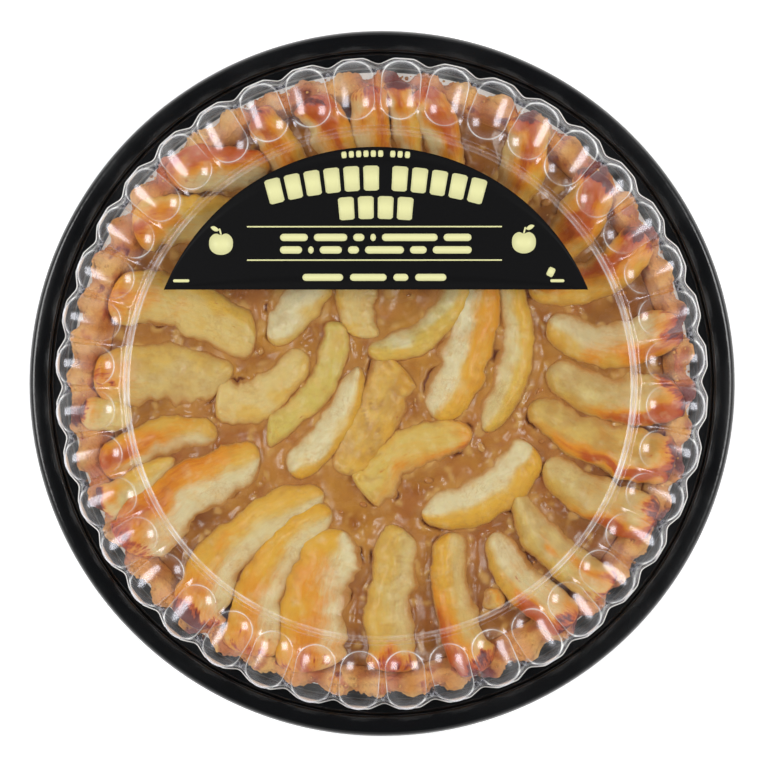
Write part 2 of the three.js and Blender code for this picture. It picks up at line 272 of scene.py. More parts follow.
def srgb(red: int, green: int, blue: int) -> tuple[float, float, float, float]:
    """A colour given as display values, as linear light.

    Args:
        red: 0 to 255.
        green: 0 to 255.
        blue: 0 to 255.

    Returns:
        Red, green, blue and alpha, 0 to 1.
    """
    def linear(v: float) -> float:
        """One channel of it."""
        return v / 12.92 if v <= 0.04045 else ((v + 0.055) / 1.055) ** 2.4

    return (linear(red / 255), linear(green / 255), linear(blue / 255), 1.0)


class Value:
    """A node socket that carries a number; arithmetic on it adds Math nodes."""

    def __init__(self, tree: "Tree", socket: bpy.types.NodeSocket) -> None:
        """Wraps one output socket of a tree."""
        self.tree, self.socket = tree, socket

    def __add__(self, other: "Value | float") -> "Value":
        """self + other."""
        return self.tree.maths("ADD", self, other)

    __radd__ = __add__

    def __sub__(self, other: "Value | float") -> "Value":
        """self - other."""
        return self.tree.maths("SUBTRACT", self, other)

    def __rsub__(self, other: float) -> "Value":
        """other - self."""
        return self.tree.maths("SUBTRACT", other, self)

    def __mul__(self, other: "Value | float") -> "Value":
        """self * other."""
        return self.tree.maths("MULTIPLY", self, other)

    __rmul__ = __mul__

    def __pow__(self, other: float) -> "Value":
        """self ** other."""
        return self.tree.maths("POWER", self, other)

    def over(self, low: float, high: float) -> "Value":
        """Smooth 0 to 1 climb of this value between low and high."""
        node = self.tree.add(
            "ShaderNodeMapRange",
            {"interpolation_type": "SMOOTHSTEP"},
            {"Value": self, "From Min": low, "From Max": high},
        )
        return Value(self.tree, node.outputs["Result"])

    def size(self) -> "Value":
        """This value without its sign."""
        return self.tree.maths("ABSOLUTE", self, 0.0)

    def held(self) -> "Value":
        """This value kept between 0 and 1."""
        return Value(self.tree, self.tree.add("ShaderNodeClamp", {}, {"Value": self}).outputs[0])


class Tree:
    """The node tree of a material or of a world, with one method to add a node
    and a few to join the ones that are used again and again."""

    def __init__(self, name: str, world: bpy.types.World | None = None) -> None:
        """Makes an empty material, or empties a world's tree.

        Args:
            name: what the material will be called.
            world: the world, if the tree is for one.
        """
        self.owner = world or bpy.data.materials.new(name)
        self.owner.use_nodes = True
        self.nodes, self.links = self.owner.node_tree.nodes, self.owner.node_tree.links
        self.nodes.clear()

    def add(
        self, kind: str, settings: dict | None = None, inputs: dict | None = None
    ) -> bpy.types.Node:
        """Adds a node.

        Args:
            kind: the node's type.
            settings: its own properties, set first.
            inputs: a number, colour, Value or socket for each input, by its
                name or place.

        Returns:
            The node.
        """
        node = self.nodes.new(kind)
        for key, value in (settings or {}).items():
            setattr(node, key, value)
        for key, value in (inputs or {}).items():
            if isinstance(value, Value):
                value = value.socket
            if isinstance(value, bpy.types.NodeSocket):
                self.links.new(value, node.inputs[key])
            else:
                node.inputs[key].default_value = value
        return node

    def maths(self, operation: str, first: "Value | float", second: "Value | float") -> Value:
        """One Math node on two numbers."""
        node = self.add("ShaderNodeMath", {"operation": operation}, {0: first, 1: second})
        return Value(self, node.outputs[0])

    def mask(self, name: str) -> Value:
        """The piece's own attribute of that name."""
        node = self.add("ShaderNodeAttribute", {"attribute_name": name})
        return Value(self, node.outputs["Fac"])

    def noise(self, size: float, seed: float, detail: float = 2.0, rough: float = 0.5) -> Value:
        """Cloudy pattern in the object's own coordinates.

        Args:
            size: about how wide its blotches are, in mm.
            seed: picks one of many such patterns.
            detail: how many finer layers are added.
            rough: how strong each finer layer is.

        Returns:
            A value of 0 to 1, mostly 0.3 to 0.7.
        """
        place = self.add("ShaderNodeTexCoord").outputs["Object"]
        node = self.add(
            "ShaderNodeTexNoise",
            {"noise_dimensions": "4D"},
            {"Vector": place, "W": seed, "Scale": 1000.0 / size, "Detail": detail, "Roughness": rough},
        )
        return Value(self, node.outputs[0])

    def mix(
        self,
        factor: "Value | float",
        first: "tuple | bpy.types.NodeSocket",
        second: "tuple | bpy.types.NodeSocket",
    ) -> bpy.types.NodeSocket:
        """Two colours mixed: first where factor is 0, second where it is 1."""
        node = self.add(
            "ShaderNodeMix", {"data_type": "RGBA"}, {0: factor, 6: first, 7: second}
        )
        return node.outputs[2]

    def bump(self, height: Value, depth: float) -> bpy.types.NodeSocket:
        """A normal bent by a height pattern of 0 to 1 that is depth mm deep."""
        inputs = {"Height": height, "Distance": depth * MM, "Strength": 1.0}
        return self.add("ShaderNodeBump", {}, inputs).outputs[0]

    def finish(self, shader: bpy.types.NodeSocket) -> bpy.types.Material:
        """Joins a shader to the output and hands over the material."""
        self.add("ShaderNodeOutputMaterial", {}, {"Surface": shader})
        return self.owner

    def principled(self, **inputs: "float | tuple | Value | bpy.types.NodeSocket") -> bpy.types.Material:
        """Ends the tree in one Principled shader; a name's underscores are spaces."""
        named = {key.replace("_", " "): value for key, value in inputs.items()}
        return self.finish(self.add("ShaderNodeBsdfPrincipled", {}, named).outputs[0])


@dataclass(frozen=True)
class BlackTrayPlastic:
    """Glossy black sheet, a little wavy from forming."""

    colour: tuple = srgb(12, 13, 15)
    roughness: float = 0.16

    def material(self) -> bpy.types.Material:
        """Makes the material.

        Returns:
            The material, ready for a piece.
        """
        tree = Tree("black_tray_plastic")
        ripple = tree.noise(9.0, 3.0, 3.0)
        return tree.principled(
            Base_Color=self.colour,
            Roughness=self.roughness + 0.12 * tree.noise(40.0, 8.0).over(0.4, 0.7),
            Normal=tree.bump(ripple, 0.25),
            IOR=1.5,
        )


@dataclass(frozen=True)
class WhiteBoard:
    """Uncoated white board with faint fibres, and a slight glow of its own: painted light that keeps it
    bright where the dome and the crust shade it.
    """

    colour: tuple = srgb(250, 249, 246)
    shade: tuple = srgb(238, 235, 228)

    def material(self) -> bpy.types.Material:
        """Makes the material.

        Returns:
            The material, ready for a piece.
        """
        tree = Tree("white_board")
        fibre = tree.noise(1.5, 2.0, 4.0)
        return tree.principled(
            Base_Color=tree.mix(fibre.over(0.45, 0.75), self.colour, self.shade),
            Roughness=0.85,
            Normal=tree.bump(fibre, 0.05),
            # painted light: a slight glow of its own keeps the board bright where the dome and the crust
            # shade it
            Emission_Color=self.colour,
            Emission_Strength=0.3,
        )


@dataclass(frozen=True)
class BakedPastry:
    """Dry golden shortbread, browner where the oven or the juice caught it, and with painted shade in its
    flute valleys.
    """

    golden: tuple = srgb(226, 152, 70)
    light: tuple = srgb(236, 181, 102)
    brown: tuple = srgb(190, 106, 38)
    juice: tuple = srgb(186, 68, 16)
    burnt: tuple = srgb(122, 28, 6)

    def material(self) -> bpy.types.Material:
        """Makes the material.

        Returns:
            The material, ready for a piece.
        """
        tree = Tree("baked_pastry")
        grain, patch = tree.noise(1.6, 1.0, 4.0, 0.6), tree.noise(11.0, 5.0, 3.0)
        body = tree.mix(patch.over(0.38, 0.66), self.golden, self.light)
        # this mask carries browning together with painted shade: the crust's masks darken the flute valleys
        # with it
        baked = (tree.mask("baked") + 0.5 * (patch - 0.5) + 0.35 * (grain - 0.5)).held()
        body = tree.mix(baked.over(0.2, 1.0), body, self.brown)
        juice = (tree.mask("juice") + 0.7 * (tree.noise(5.0, 9.0, 4.0) - 0.5)).held()
        body = tree.mix(juice.over(0.15, 1.0) * 0.8, body, self.juice)
        burnt = (tree.mask("burnt") + 1.2 * (tree.noise(3.5, 4.0, 3.0) - 0.5)).held()
        body = tree.mix(burnt.over(0.28, 0.7), body, self.burnt)
        return tree.principled(
            Base_Color=tree.mix(grain.over(0.6, 0.8) * 0.35, body, self.brown),
            Roughness=0.85 - 0.45 * juice.over(0.3, 0.9),
            Normal=tree.bump(grain + 0.6 * tree.noise(0.7, 6.0, 2.0), 0.9),
        )


@dataclass(frozen=True)
class FruitGelFinish:
    """Brown, wet set fruit gel, paler over pulp, with painted shade darkening it along its cracks beside
    the slices.
    """

    brown: tuple = srgb(154, 86, 32)
    amber: tuple = srgb(196, 138, 54)
    rosy: tuple = srgb(180, 112, 60)
    crack_shade_colour: tuple = srgb(120, 60, 22)
    pulp: tuple = srgb(212, 164, 92)
    light: tuple = srgb(204, 148, 76)
    deep: tuple = srgb(132, 76, 36)

    def material(self) -> bpy.types.Material:
        """Makes the material.

        Returns:
            The material, ready for a piece.
        """
        tree = Tree("fruit_gel")
        cloud, fine = tree.noise(16.0, 2.0, 3.0), tree.noise(2.2, 7.0, 4.0)
        body = tree.mix(cloud.over(0.3, 0.7), self.brown, self.amber)
        body = tree.mix(tree.noise(24.0, 11.0, 2.0).over(0.45, 0.75), body, self.rosy)
        near = tree.mask("halo") * tree.noise(8.0, 31.0, 2.0).over(0.3, 0.6)
        body = tree.mix(near * 0.5, body, self.light)
        body = tree.mix(tree.mask("deep") * 0.75, body, self.deep)
        body = tree.mix(tree.mask("pulp") * 0.7, body, self.pulp)
        # painted shade: the gel's colour darkens along its cracks beside the slices, as a contact shadow
        crack = (tree.mask("crack") + 0.25 * (fine - 0.5)).held()
        return tree.principled(
            Base_Color=tree.mix(crack.over(0.05, 0.95), body, self.crack_shade_colour),
            Roughness=0.13 + 0.2 * tree.noise(5.0, 13.0, 2.0).over(0.35, 0.7) + 0.07 * tree.mask("halo"),
            Normal=tree.bump(fine, 0.03),
            IOR=1.42,
        )


@dataclass(frozen=True)
class PulpFinish:
    """Wet lumps of fruit, from cream to the gel's amber."""

    cream: tuple = srgb(204, 152, 86)
    amber: tuple = srgb(182, 118, 58)

    def material(self) -> bpy.types.Material:
        """Makes the material.

        Returns:
            The material, ready for a piece.
        """
        tree = Tree("fruit_pulp")
        shade = (tree.mask("pale") + 0.3 * (tree.noise(1.2, 2.0) - 0.5)).over(0.35, 0.95)
        return tree.principled(
            Base_Color=tree.mix(shade, self.amber, self.cream), Roughness=0.14, IOR=1.42
        )


@dataclass(frozen=True)
class BakedApple:
    """Soft baked apple: pale on the cut face, golden on the round side,
    orange where it toasted and nearly black-red at a burnt tip."""

    pale: tuple = srgb(232, 216, 168)
    flesh: tuple = srgb(224, 189, 104)
    golden: tuple = srgb(230, 174, 54)
    green: tuple = srgb(212, 188, 88)
    toasted: tuple = srgb(232, 148, 28)
    red: tuple = srgb(186, 62, 14)
    burnt: tuple = srgb(104, 14, 3)
    vein: tuple = srgb(194, 140, 68)
    stain: tuple = srgb(204, 154, 88)
    gel: tuple = srgb(194, 134, 68)
    brown: tuple = srgb(170, 114, 54)

    def material(self) -> bpy.types.Material:
        """Makes the material.

        Returns:
            The material, ready for a piece.
        """
        tree = Tree("baked_apple")
        cloud, fine = tree.noise(9.0, 1.0, 3.0), tree.noise(1.5, 5.0, 4.0)
        streak = tree.noise(3.2, 9.0, 3.0)
        grain = tree.add("ShaderNodeCombineXYZ", {}, {0: tree.mask("along") * 0.22, 1: tree.mask("across")})
        fibre = Value(tree, tree.add(
            "ShaderNodeTexNoise",
            {"noise_dimensions": "4D"},
            {"Vector": grain.outputs[0], "W": 3.0, "Scale": 1.1, "Detail": 3.0},
        ).outputs[0])
        body = tree.mix((tree.mask("pale") + 0.35 * (cloud - 0.5)).over(0.05, 0.9), self.flesh, self.pale)
        golden = tree.mask("golden") + 0.3 * (cloud - 0.5) + 0.55 * (fibre - 0.5)
        body = tree.mix(golden.over(0.05, 0.95), body, self.golden)
        body = tree.mix((tree.mask("green") * cloud.over(0.3, 0.6)), body, self.green)
        vein = 1.0 - (tree.noise(4.0, 15.0, 3.0, 0.6) - 0.5).size().over(0.0, 0.035)
        body = tree.mix(vein * cloud.over(0.4, 0.6) * 0.3, body, self.vein)
        # painted shade: the creases are painted darker, in the veins' colour
        body = tree.mix(tree.mask("fold").over(0.0, 0.8) * 0.5, body, self.vein)
        body = tree.mix(tree.noise(5.0, 21.0, 3.0).over(0.5, 0.8) * 0.35, body, self.golden)
        body = tree.mix(tree.mask("brown") * tree.noise(7.0, 23.0, 3.0).over(0.3, 0.65), body, self.brown)
        toast = (tree.mask("toast") + 0.35 * (cloud - 0.5) + 0.45 * (fibre - 0.5)).held()
        body = tree.mix(toast.over(0.08, 0.7), body, self.toasted)
        body = tree.mix(toast.over(0.55, 1.0) * 0.8, body, self.red)
        mottle = tree.noise(4.6, 33.0, 3.0)
        body = tree.mix(mottle.over(0.5, 0.75) * 0.26, body, self.vein)
        body = tree.mix((1.0 - mottle).over(0.52, 0.76) * 0.26, body, self.pale)
        burnt = (tree.mask("burnt") * 0.9 + 1.3 * (streak - 0.5) + 1.1 * (fibre - 0.5)).held()
        body = tree.mix(burnt.over(0.3, 0.55) * 0.8, body, self.red)
        body = tree.mix(burnt.over(0.5, 0.8), body, self.burnt)
        stain = (tree.mask("stain") + 0.5 * (cloud - 0.5) + 0.3 * (fine - 0.5)).over(0.1, 0.8)
        body = tree.mix(stain * 0.85, body, self.stain)
        body = tree.mix(tree.mask("stain").over(0.6, 0.95) * 0.9, body, self.gel)
        return tree.principled(
            Base_Color=tree.mix(fine.over(0.6, 0.85) * 0.15, body, self.vein),
            Roughness=0.5 - 0.16 * streak.over(0.4, 0.7) - 0.2 * stain,
            Normal=tree.bump(0.7 * fine + 0.7 * streak + 0.8 * fibre + mottle, 0.22),
            Coat_Weight=0.1,
            Coat_Roughness=0.25,
            Subsurface_Weight=0.25,
            Subsurface_Radius=(1.0, 0.6, 0.3),
            Subsurface_Scale=0.002,
            IOR=1.42,
        )


@dataclass(frozen=True)
class ClearSheet:
    """Thin clear formed sheet. Each face passes what it doesn't mirror: its
    mirror share is 0.04 head on and climbs with (1 - cosine) to the fifth.
    A white matt glare is painted where it bends, and on its walls where they are seen edge on: painted
    highlight and reflection for the light that the real sheet catches there."""

    clear: tuple = srgb(252, 253, 253)
    shine: tuple = srgb(246, 246, 255)
    glare_white: tuple = srgb(252, 250, 246)
    roughness: float = 0.18
    glare: float = 0.8

    def material(self) -> bpy.types.Material:
        """Makes the material.

        Returns:
            The material, ready for a piece.
        """
        tree = Tree("clear_sheet" if self.glare else "clear_sheet_inside")
        normal = tree.bump(tree.noise(14.0, 2.0, 2.0), 0.12)
        facing = tree.add("ShaderNodeLayerWeight", {}, {"Blend": 0.5, "Normal": normal})
        aside = Value(tree, facing.outputs["Facing"])
        mirror = 0.04 + 0.96 * aside**5.0
        # painted glare: white is painted by the edge mask, and by the wall mask only where the sheet is
        # seen edge on
        white = tree.mask("edge") + 1.6 * tree.mask("wall") * aside**1.5
        clear = tree.add("ShaderNodeBsdfTransparent", {}, {"Color": self.clear})
        gloss = tree.add(
            "ShaderNodeBsdfAnisotropic",
            {},
            {"Color": self.shine, "Roughness": self.roughness, "Normal": normal},
        )
        sheet = tree.add("ShaderNodeMixShader", {}, {0: mirror, 1: clear.outputs[0], 2: gloss.outputs[0]})
        # the painted glare is a matt white shader
        painted_glare = tree.add("ShaderNodeBsdfDiffuse", {}, {"Color": self.glare_white})
        whole = tree.add(
            "ShaderNodeMixShader",
            {},
            {0: (self.glare * white).held(), 1: sheet.outputs[0], 2: painted_glare.outputs[0]},
        )
        return tree.finish(whole.outputs[0])


@dataclass(frozen=True)
class LabelPaper:
    """Satin black sticker with a faint tooth."""

    colour: tuple = srgb(12, 12, 13)
    tooth: tuple = srgb(16, 16, 17)

    def material(self) -> bpy.types.Material:
        """Makes the material.

        Returns:
            The material, ready for a piece.
        """
        tree = Tree("label_paper")
        grain = tree.noise(0.8, 4.0, 2.0)
        return tree.principled(
            Base_Color=tree.mix(grain.over(0.4, 0.8) * 0.5, self.colour, self.tooth),
            Roughness=0.4,
            Specular_IOR_Level=0.12,
            Normal=tree.bump(grain, 0.02),
        )


@dataclass(frozen=True)
class LabelInk:
    """Matt pale yellow print."""

    colour: tuple = srgb(226, 224, 164)
    thin: tuple = srgb(214, 212, 150)

    def material(self) -> bpy.types.Material:
        """Makes the material.

        Returns:
            The material, ready for a piece.
        """
        tree = Tree("label_ink")
        speck = tree.noise(0.6, 6.0, 2.0)
        return tree.principled(
            Base_Color=tree.mix(speck.over(0.5, 0.8) * 0.25, self.colour, self.thin),
            Roughness=0.5,
        )


# -------------------------------------------------------------------- fruit


class Form(Enum):
    """How a slice lies: on a cut face with a ridge, or flat and broad."""

    WEDGE = "wedge"
    FLAT = "flat"


@dataclass(frozen=True)
class Slice:
    """One slice: its place and size in mm, and how its sides are baked.

    outer, middle and inner are points on its bent middle line. peel is the
    side of the round face, 1 left of the run from outer to inner tip and -1
    right. toast is how orange it is and reach how far from the outer tip,
    0 to 1, that goes; stripe is where across it the orange lies, from -1 on
    the hollow side to 1 on the round side, and skin where the golden side
    begins. taper is the share of its width that it loses towards the outer
    and the inner tip, cut how far each tip slants, tips how long each tip's
    rounding is as a share of half the width, crease how deep its wrinkles are
    and ragged how torn its outline is.
    """

    name: str
    outer: tuple[float, float]
    middle: tuple[float, float]
    inner: tuple[float, float]
    width: float
    height: float
    peel: int = 1
    form: Form = Form.WEDGE
    toast: float = 0.5
    reach: float = 0.6
    stripe: float = 0.5
    burnt: float = 0.5
    pale: float = 0.7
    golden: float = 0.7
    green: float = 0.0
    brown: float = 0.0
    skin: float = -0.35
    taper: tuple[float, float] = (0.15, 0.3)
    cut: tuple[float, float] = (0.0, 0.0)
    tips: tuple[float, float] = (0.7, 0.9)
    crease: float = 0.35
    ragged: float = 0.15


def ring_slices() -> list[Slice]:
    """The slices that lean on the rim.

    Returns:
        The slices, anticlockwise from +X.
    """
    flat = Form.FLAT
    return [
        Slice(
            "ring_01", (111, 25), (86, 15), (63, 25), 17, 6.5, toast=0.8, reach=0.9, burnt=0.9,
            brown=0.2, skin=0.0),
        Slice(
            "ring_02", (98, 57), (81, 40), (55, 37), 16, 6.5, toast=1.0, reach=1.3, stripe=-0.3,
            burnt=0.8, pale=0.2, brown=0.4),
        Slice(
            "ring_03", (81, 80), (73, 60), (56, 46), 17, 6, toast=1.1, reach=1.3, stripe=0.0, burnt=1.0,
            pale=0.1, brown=0.4),
        Slice(
            "ring_04", (54, 101), (52.5, 80), (38, 53), 16, 6, toast=0.9, reach=1.2, stripe=0.1,
            burnt=0.9, pale=0.5, brown=0.3),
        Slice(
            "ring_05", (13, 109), (23, 90), (22, 62), 14, 6.5, toast=0.9, reach=1.2, stripe=0.4,
            burnt=0.4),
        Slice("ring_06", (-5, 111), (-3, 88), (1, 60), 15, 6, toast=0.8, reach=1.2, stripe=0.4, burnt=0.5),
        Slice("ring_07", (5, 113), (10, 94), (13, 68), 10, 5, toast=0.7, reach=0.8, stripe=0.0, burnt=1.0),
        Slice(
            "ring_08", (-28, 106), (-16, 88), (-13, 60), 15, 6, toast=1.0, reach=1.2, stripe=0.2,
            burnt=0.5),
        Slice(
            "ring_09", (-47, 101), (-34, 82), (-28, 58), 14, 6, toast=0.8, reach=1.0, stripe=-0.1,
            burnt=0.5),
        Slice(
            "ring_10", (-80, 80), (-60, 81), (-42, 79), 16, 6.5, peel=1, toast=1.15, reach=1.5,
            stripe=0.8, burnt=0.4, pale=0.7, skin=0.0),
        Slice(
            "ring_11", (-92, 58), (-72, 62), (-45, 60), 18, 6, form=flat, toast=0.7, reach=0.7,
            stripe=0.0, burnt=0.2),
        Slice(
            "ring_12", (-101, 33), (-74, 29.5), (-47, 15), 20, 6, form=flat, toast=0.5, reach=0.6,
            stripe=0.0, burnt=0.2, golden=0.6, green=0.15, taper=(0.2, 0.1), cut=(0.2, -0.4)),
        Slice(
            "ring_13", (-107, 3), (-80, 3.5), (-57, 1), 22, 5.5, form=flat, toast=0.5, reach=0.5,
            stripe=0.0, burnt=0.3, golden=0.35, green=0.15, brown=0.35, taper=(0.1, 0.2), cut=(0.0, 0.3),
            crease=0.7),
        Slice(
            "ring_14", (-112, -11), (-103, -11), (-93, -11), 12, 3.5, form=flat, toast=0.5, reach=0.6,
            burnt=1.0, golden=0.2),
        Slice(
            "ring_15", (-104, -31), (-82, -20), (-61, -19), 14, 5.5, toast=0.75, reach=1.0, stripe=0.2,
            burnt=0.3, brown=0.2),
        Slice(
            "ring_16", (-105, -45), (-92, -38), (-77, -28), 12, 4.5, toast=0.5, reach=0.6, burnt=0.9,
            green=0.4, taper=(0.0, 0.5)),
        Slice(
            "ring_17", (-95, -62), (-74, -41.5), (-45, -27.5), 22, 7, toast=0.8, reach=1.2, stripe=0.55,
            burnt=0.6, pale=1.2, taper=(0.0, 0.15)),
        Slice(
            "ring_18", (-68, -92), (-57, -63), (-21, -41), 19.5, 6.5, toast=0.65, reach=0.8, stripe=0.4,
            burnt=0.8, taper=(-0.1, 0.35)),
        Slice(
            "ring_19", (-48, -101), (-40.5, -69), (-18, -47.5), 17.5, 6, toast=0.5, reach=0.9,
            stripe=0.2, burnt=0.4, golden=0.95, taper=(-0.35, 0.4)),
        Slice(
            "ring_20", (-26, -107), (-23.5, -78), (-13, -55), 25, 6.5, toast=0.6, reach=1.1, stripe=0.1,
            burnt=0.3, pale=1.0, golden=1.1, taper=(-0.05, 0.3)),
        Slice(
            "ring_21", (5, -107), (3.5, -80), (8.5, -54), 18, 6.5, toast=0.7, reach=0.28, stripe=0.0,
            burnt=0.4, pale=0.4, golden=0.5, green=0.2, brown=0.15, taper=(0.0, 0.2), cut=(0.1, 0.2),
            tips=(0.6, 0.5), crease=0.6),
        Slice(
            "ring_22", (38, -107), (27.5, -82), (26.5, -55), 15, 6.5, toast=0.95, reach=0.9, stripe=0.8,
            burnt=1.0, pale=0.3, golden=1.0, brown=0.15, taper=(0.0, 0.2), cut=(0.0, -0.3)),
        Slice(
            "ring_23", (73, -88), (52, -73), (42.5, -55), 14.5, 6, toast=1.05, reach=0.9, stripe=0.7,
            burnt=0.9, brown=0.15, taper=(0.0, 0.35), skin=0.1),
        Slice(
            "ring_24", (88, -76), (65, -62), (51, -40), 14, 6, toast=0.7, reach=0.7, stripe=-0.3,
            burnt=0.8, pale=0.4, green=0.3, brown=0.4, taper=(0.0, 0.45), skin=0.1),
        Slice(
            "ring_25", (104, -50), (81, -43), (62, -28), 16.5, 6.5, toast=1.05, reach=0.9, stripe=0.9,
            burnt=1.0, pale=0.45, green=0.3, brown=0.3, taper=(0.0, 0.2), skin=0.1),
        Slice(
            "ring_26", (110, -28), (84, -22.5), (57, -6), 18.5, 6.5, toast=1.2, reach=1.1, stripe=0.7,
            burnt=1.0, pale=0.1, green=0.3, brown=0.5, taper=(0.0, 0.35), skin=0.1),
        Slice(
            "ring_27", (112, -3), (87, -4.5), (63, 7), 17.5, 6, toast=1.1, reach=0.9, stripe=0.8,
            burnt=0.9, pale=0.5, green=0.4, brown=0.4, taper=(0.0, 0.25), skin=0.1),
    ]


def middle_slices() -> list[Slice]:
    """The slices that lie on the gel inside the ring.

    Returns:
        The slices in the order of their nodes.
    """
    flat = Form.FLAT
    bare = {"burnt": 0.0}
    return [
        Slice(
            "middle_01", (-62, -4), (-46, -5), (-28, 13), 16, 5, -1, flat, toast=0.1, golden=0.4,
            taper=(0.0, 0.25), cut=(-0.4, 0.2), tips=(0.5, 0.7), **bare),
        Slice(
            "middle_02", (-17, 24), (-22, 1), (-43, -17), 11.5, 5, 1, flat, toast=0.0, pale=0.3,
            golden=0.3, green=0.8, taper=(0.25, 0.0), cut=(0.0, 0.9), tips=(0.6, 0.4), ragged=0.2,
            **bare),
        Slice(
            "middle_03", (-9, 7), (-18, -15), (-35, -32), 13.5, 6, toast=0.1, pale=1.0, golden=0.8,
            taper=(0.6, 0.0), skin=0.0, **bare),
        Slice(
            "middle_04", (7, 8), (-3, -12), (-14, -34), 19.5, 5.5, 1, flat, toast=0.15, pale=0.1,
            golden=1.05, brown=0.45, taper=(0.1, 0.2), cut=(0.35, -0.3), tips=(0.5, 0.7), crease=1.3,
            ragged=0.1, **bare),
        Slice(
            "middle_05", (34.5, -20), (11, -24), (-6.5, -41.5), 15.5, 5.5, -1, flat, toast=0.65,
            reach=1.3, stripe=-0.9, pale=0.2, golden=0.6, green=0.4, taper=(0.45, -0.1), cut=(0.4, 0.1),
            tips=(0.8, 0.3), crease=0.7, ragged=0.3, **bare),
        Slice(
            "middle_06", (56, -22), (40, -41), (15, -48), 18, 6.5, toast=0.1, pale=1.0, golden=0.85,
            taper=(0.1, 0.3), cut=(0.4, 0.0), skin=-0.2, **bare),
        Slice(
            "middle_07", (37, 43), (32, 14), (20, -13), 19, 6.5, toast=0.45, reach=1.2, stripe=0.6,
            pale=1.0, golden=0.9, taper=(0.2, 0.1), **bare),
        Slice(
            "middle_08", (47, 39), (50, 10), (38, -17), 13, 5.5, toast=0.1, reach=1.0, golden=0.8,
            green=0.3, taper=(0.2, 0.3), **bare),
        Slice(
            "middle_09", (30, 41), (17, 20), (-5, 14), 13, 5, toast=0.0, pale=0.9, golden=0.6, green=0.5,
            taper=(0.1, 0.3), cut=(0.0, 0.3), **bare),
        Slice(
            "middle_10", (-5, 46), (-9, 30), (-4, 17), 15, 5.5, -1, flat, toast=0.1, stripe=-0.8,
            golden=0.5, taper=(0.0, 0.35), cut=(0.0, 0.8), **bare),
        Slice(
            "middle_11", (-24, 45), (-32, 29), (-43, 20), 17, 6, toast=0.0, pale=0.9, golden=0.4,
            taper=(0.0, 0.15), cut=(0.0, 0.3), skin=0.1, **bare),
        Slice(
            "middle_12", (40, -76), (42, -80), (44, -84), 9, 3, toast=0.5, reach=1.5, pale=0.0,
            burnt=0.1, brown=0.4),
    ]


@dataclass
class Bed:
    """Heights of what the fruit lies on, and how near a slice a point is."""

    level: float = 15.5
    edge_level: float = 17.3
    swell: float = 0.4
    climb_from: float = 80.0
    leave: float = 88.0  # radius where a leaning slice leaves the gel
    clear: float = 0.6  # how far a slice's bed lies over the ramp
    rim: tuple = ((108.2, 25.1), (115.9, 25.7))
    inner: float = 104.0

    def crust_inner(self, angle: np.ndarray) -> np.ndarray:
        """Radius of the gel's edge: the inner radius with two slow waves,
        and 3 mm less on the side about 165 degrees round.

        Args:
            angle: places round Z, in radians.

        Returns:
            The radius at each of them.
        """
        wide = smoothstep(np.cos(angle - math.radians(165)), 0.6, 1.0)
        return self.inner + 0.5 * np.sin(3 * angle + 1) + 0.4 * np.sin(7 * angle) - 3 * wide

    def gel(self, x: np.ndarray, y: np.ndarray) -> np.ndarray:
        """Height of the gel: level with slow swells, climbing to the edge.

        Args:
            x: places along X.
            y: places along Y.

        Returns:
            The height at each of them.
        """
        swell = np.sin(x / 17 + 1) * np.cos(y / 21) + 0.5 * np.sin((x + y) / 13)
        climb = smoothstep(np.hypot(x, y), self.climb_from, self.inner)
        return self.level + self.swell * swell * (1 - climb) + (self.edge_level - self.level) * climb

    def under_fruit(self, x: np.ndarray, y: np.ndarray) -> np.ndarray:
        """Height under a slice: the gel, then a straight ramp to the rim.

        Args:
            x: places along X.
            y: places along Y.

        Returns:
            The height at each of them.
        """
        radius = np.maximum(np.hypot(x, y), 1e-6)
        foot = self.gel(x / radius * self.leave, y / radius * self.leave)
        (r1, z1), (r2, z2) = self.rim
        ramp = foot + (z1 - foot) * (radius - self.leave) / (r1 - self.leave)
        ramp = np.where(radius > r1, z1 + (z2 - z1) * (radius - r1) / (r2 - r1), ramp)
        return np.where(radius < self.leave, self.gel(x, y), np.minimum(ramp, z2)) + self.clear


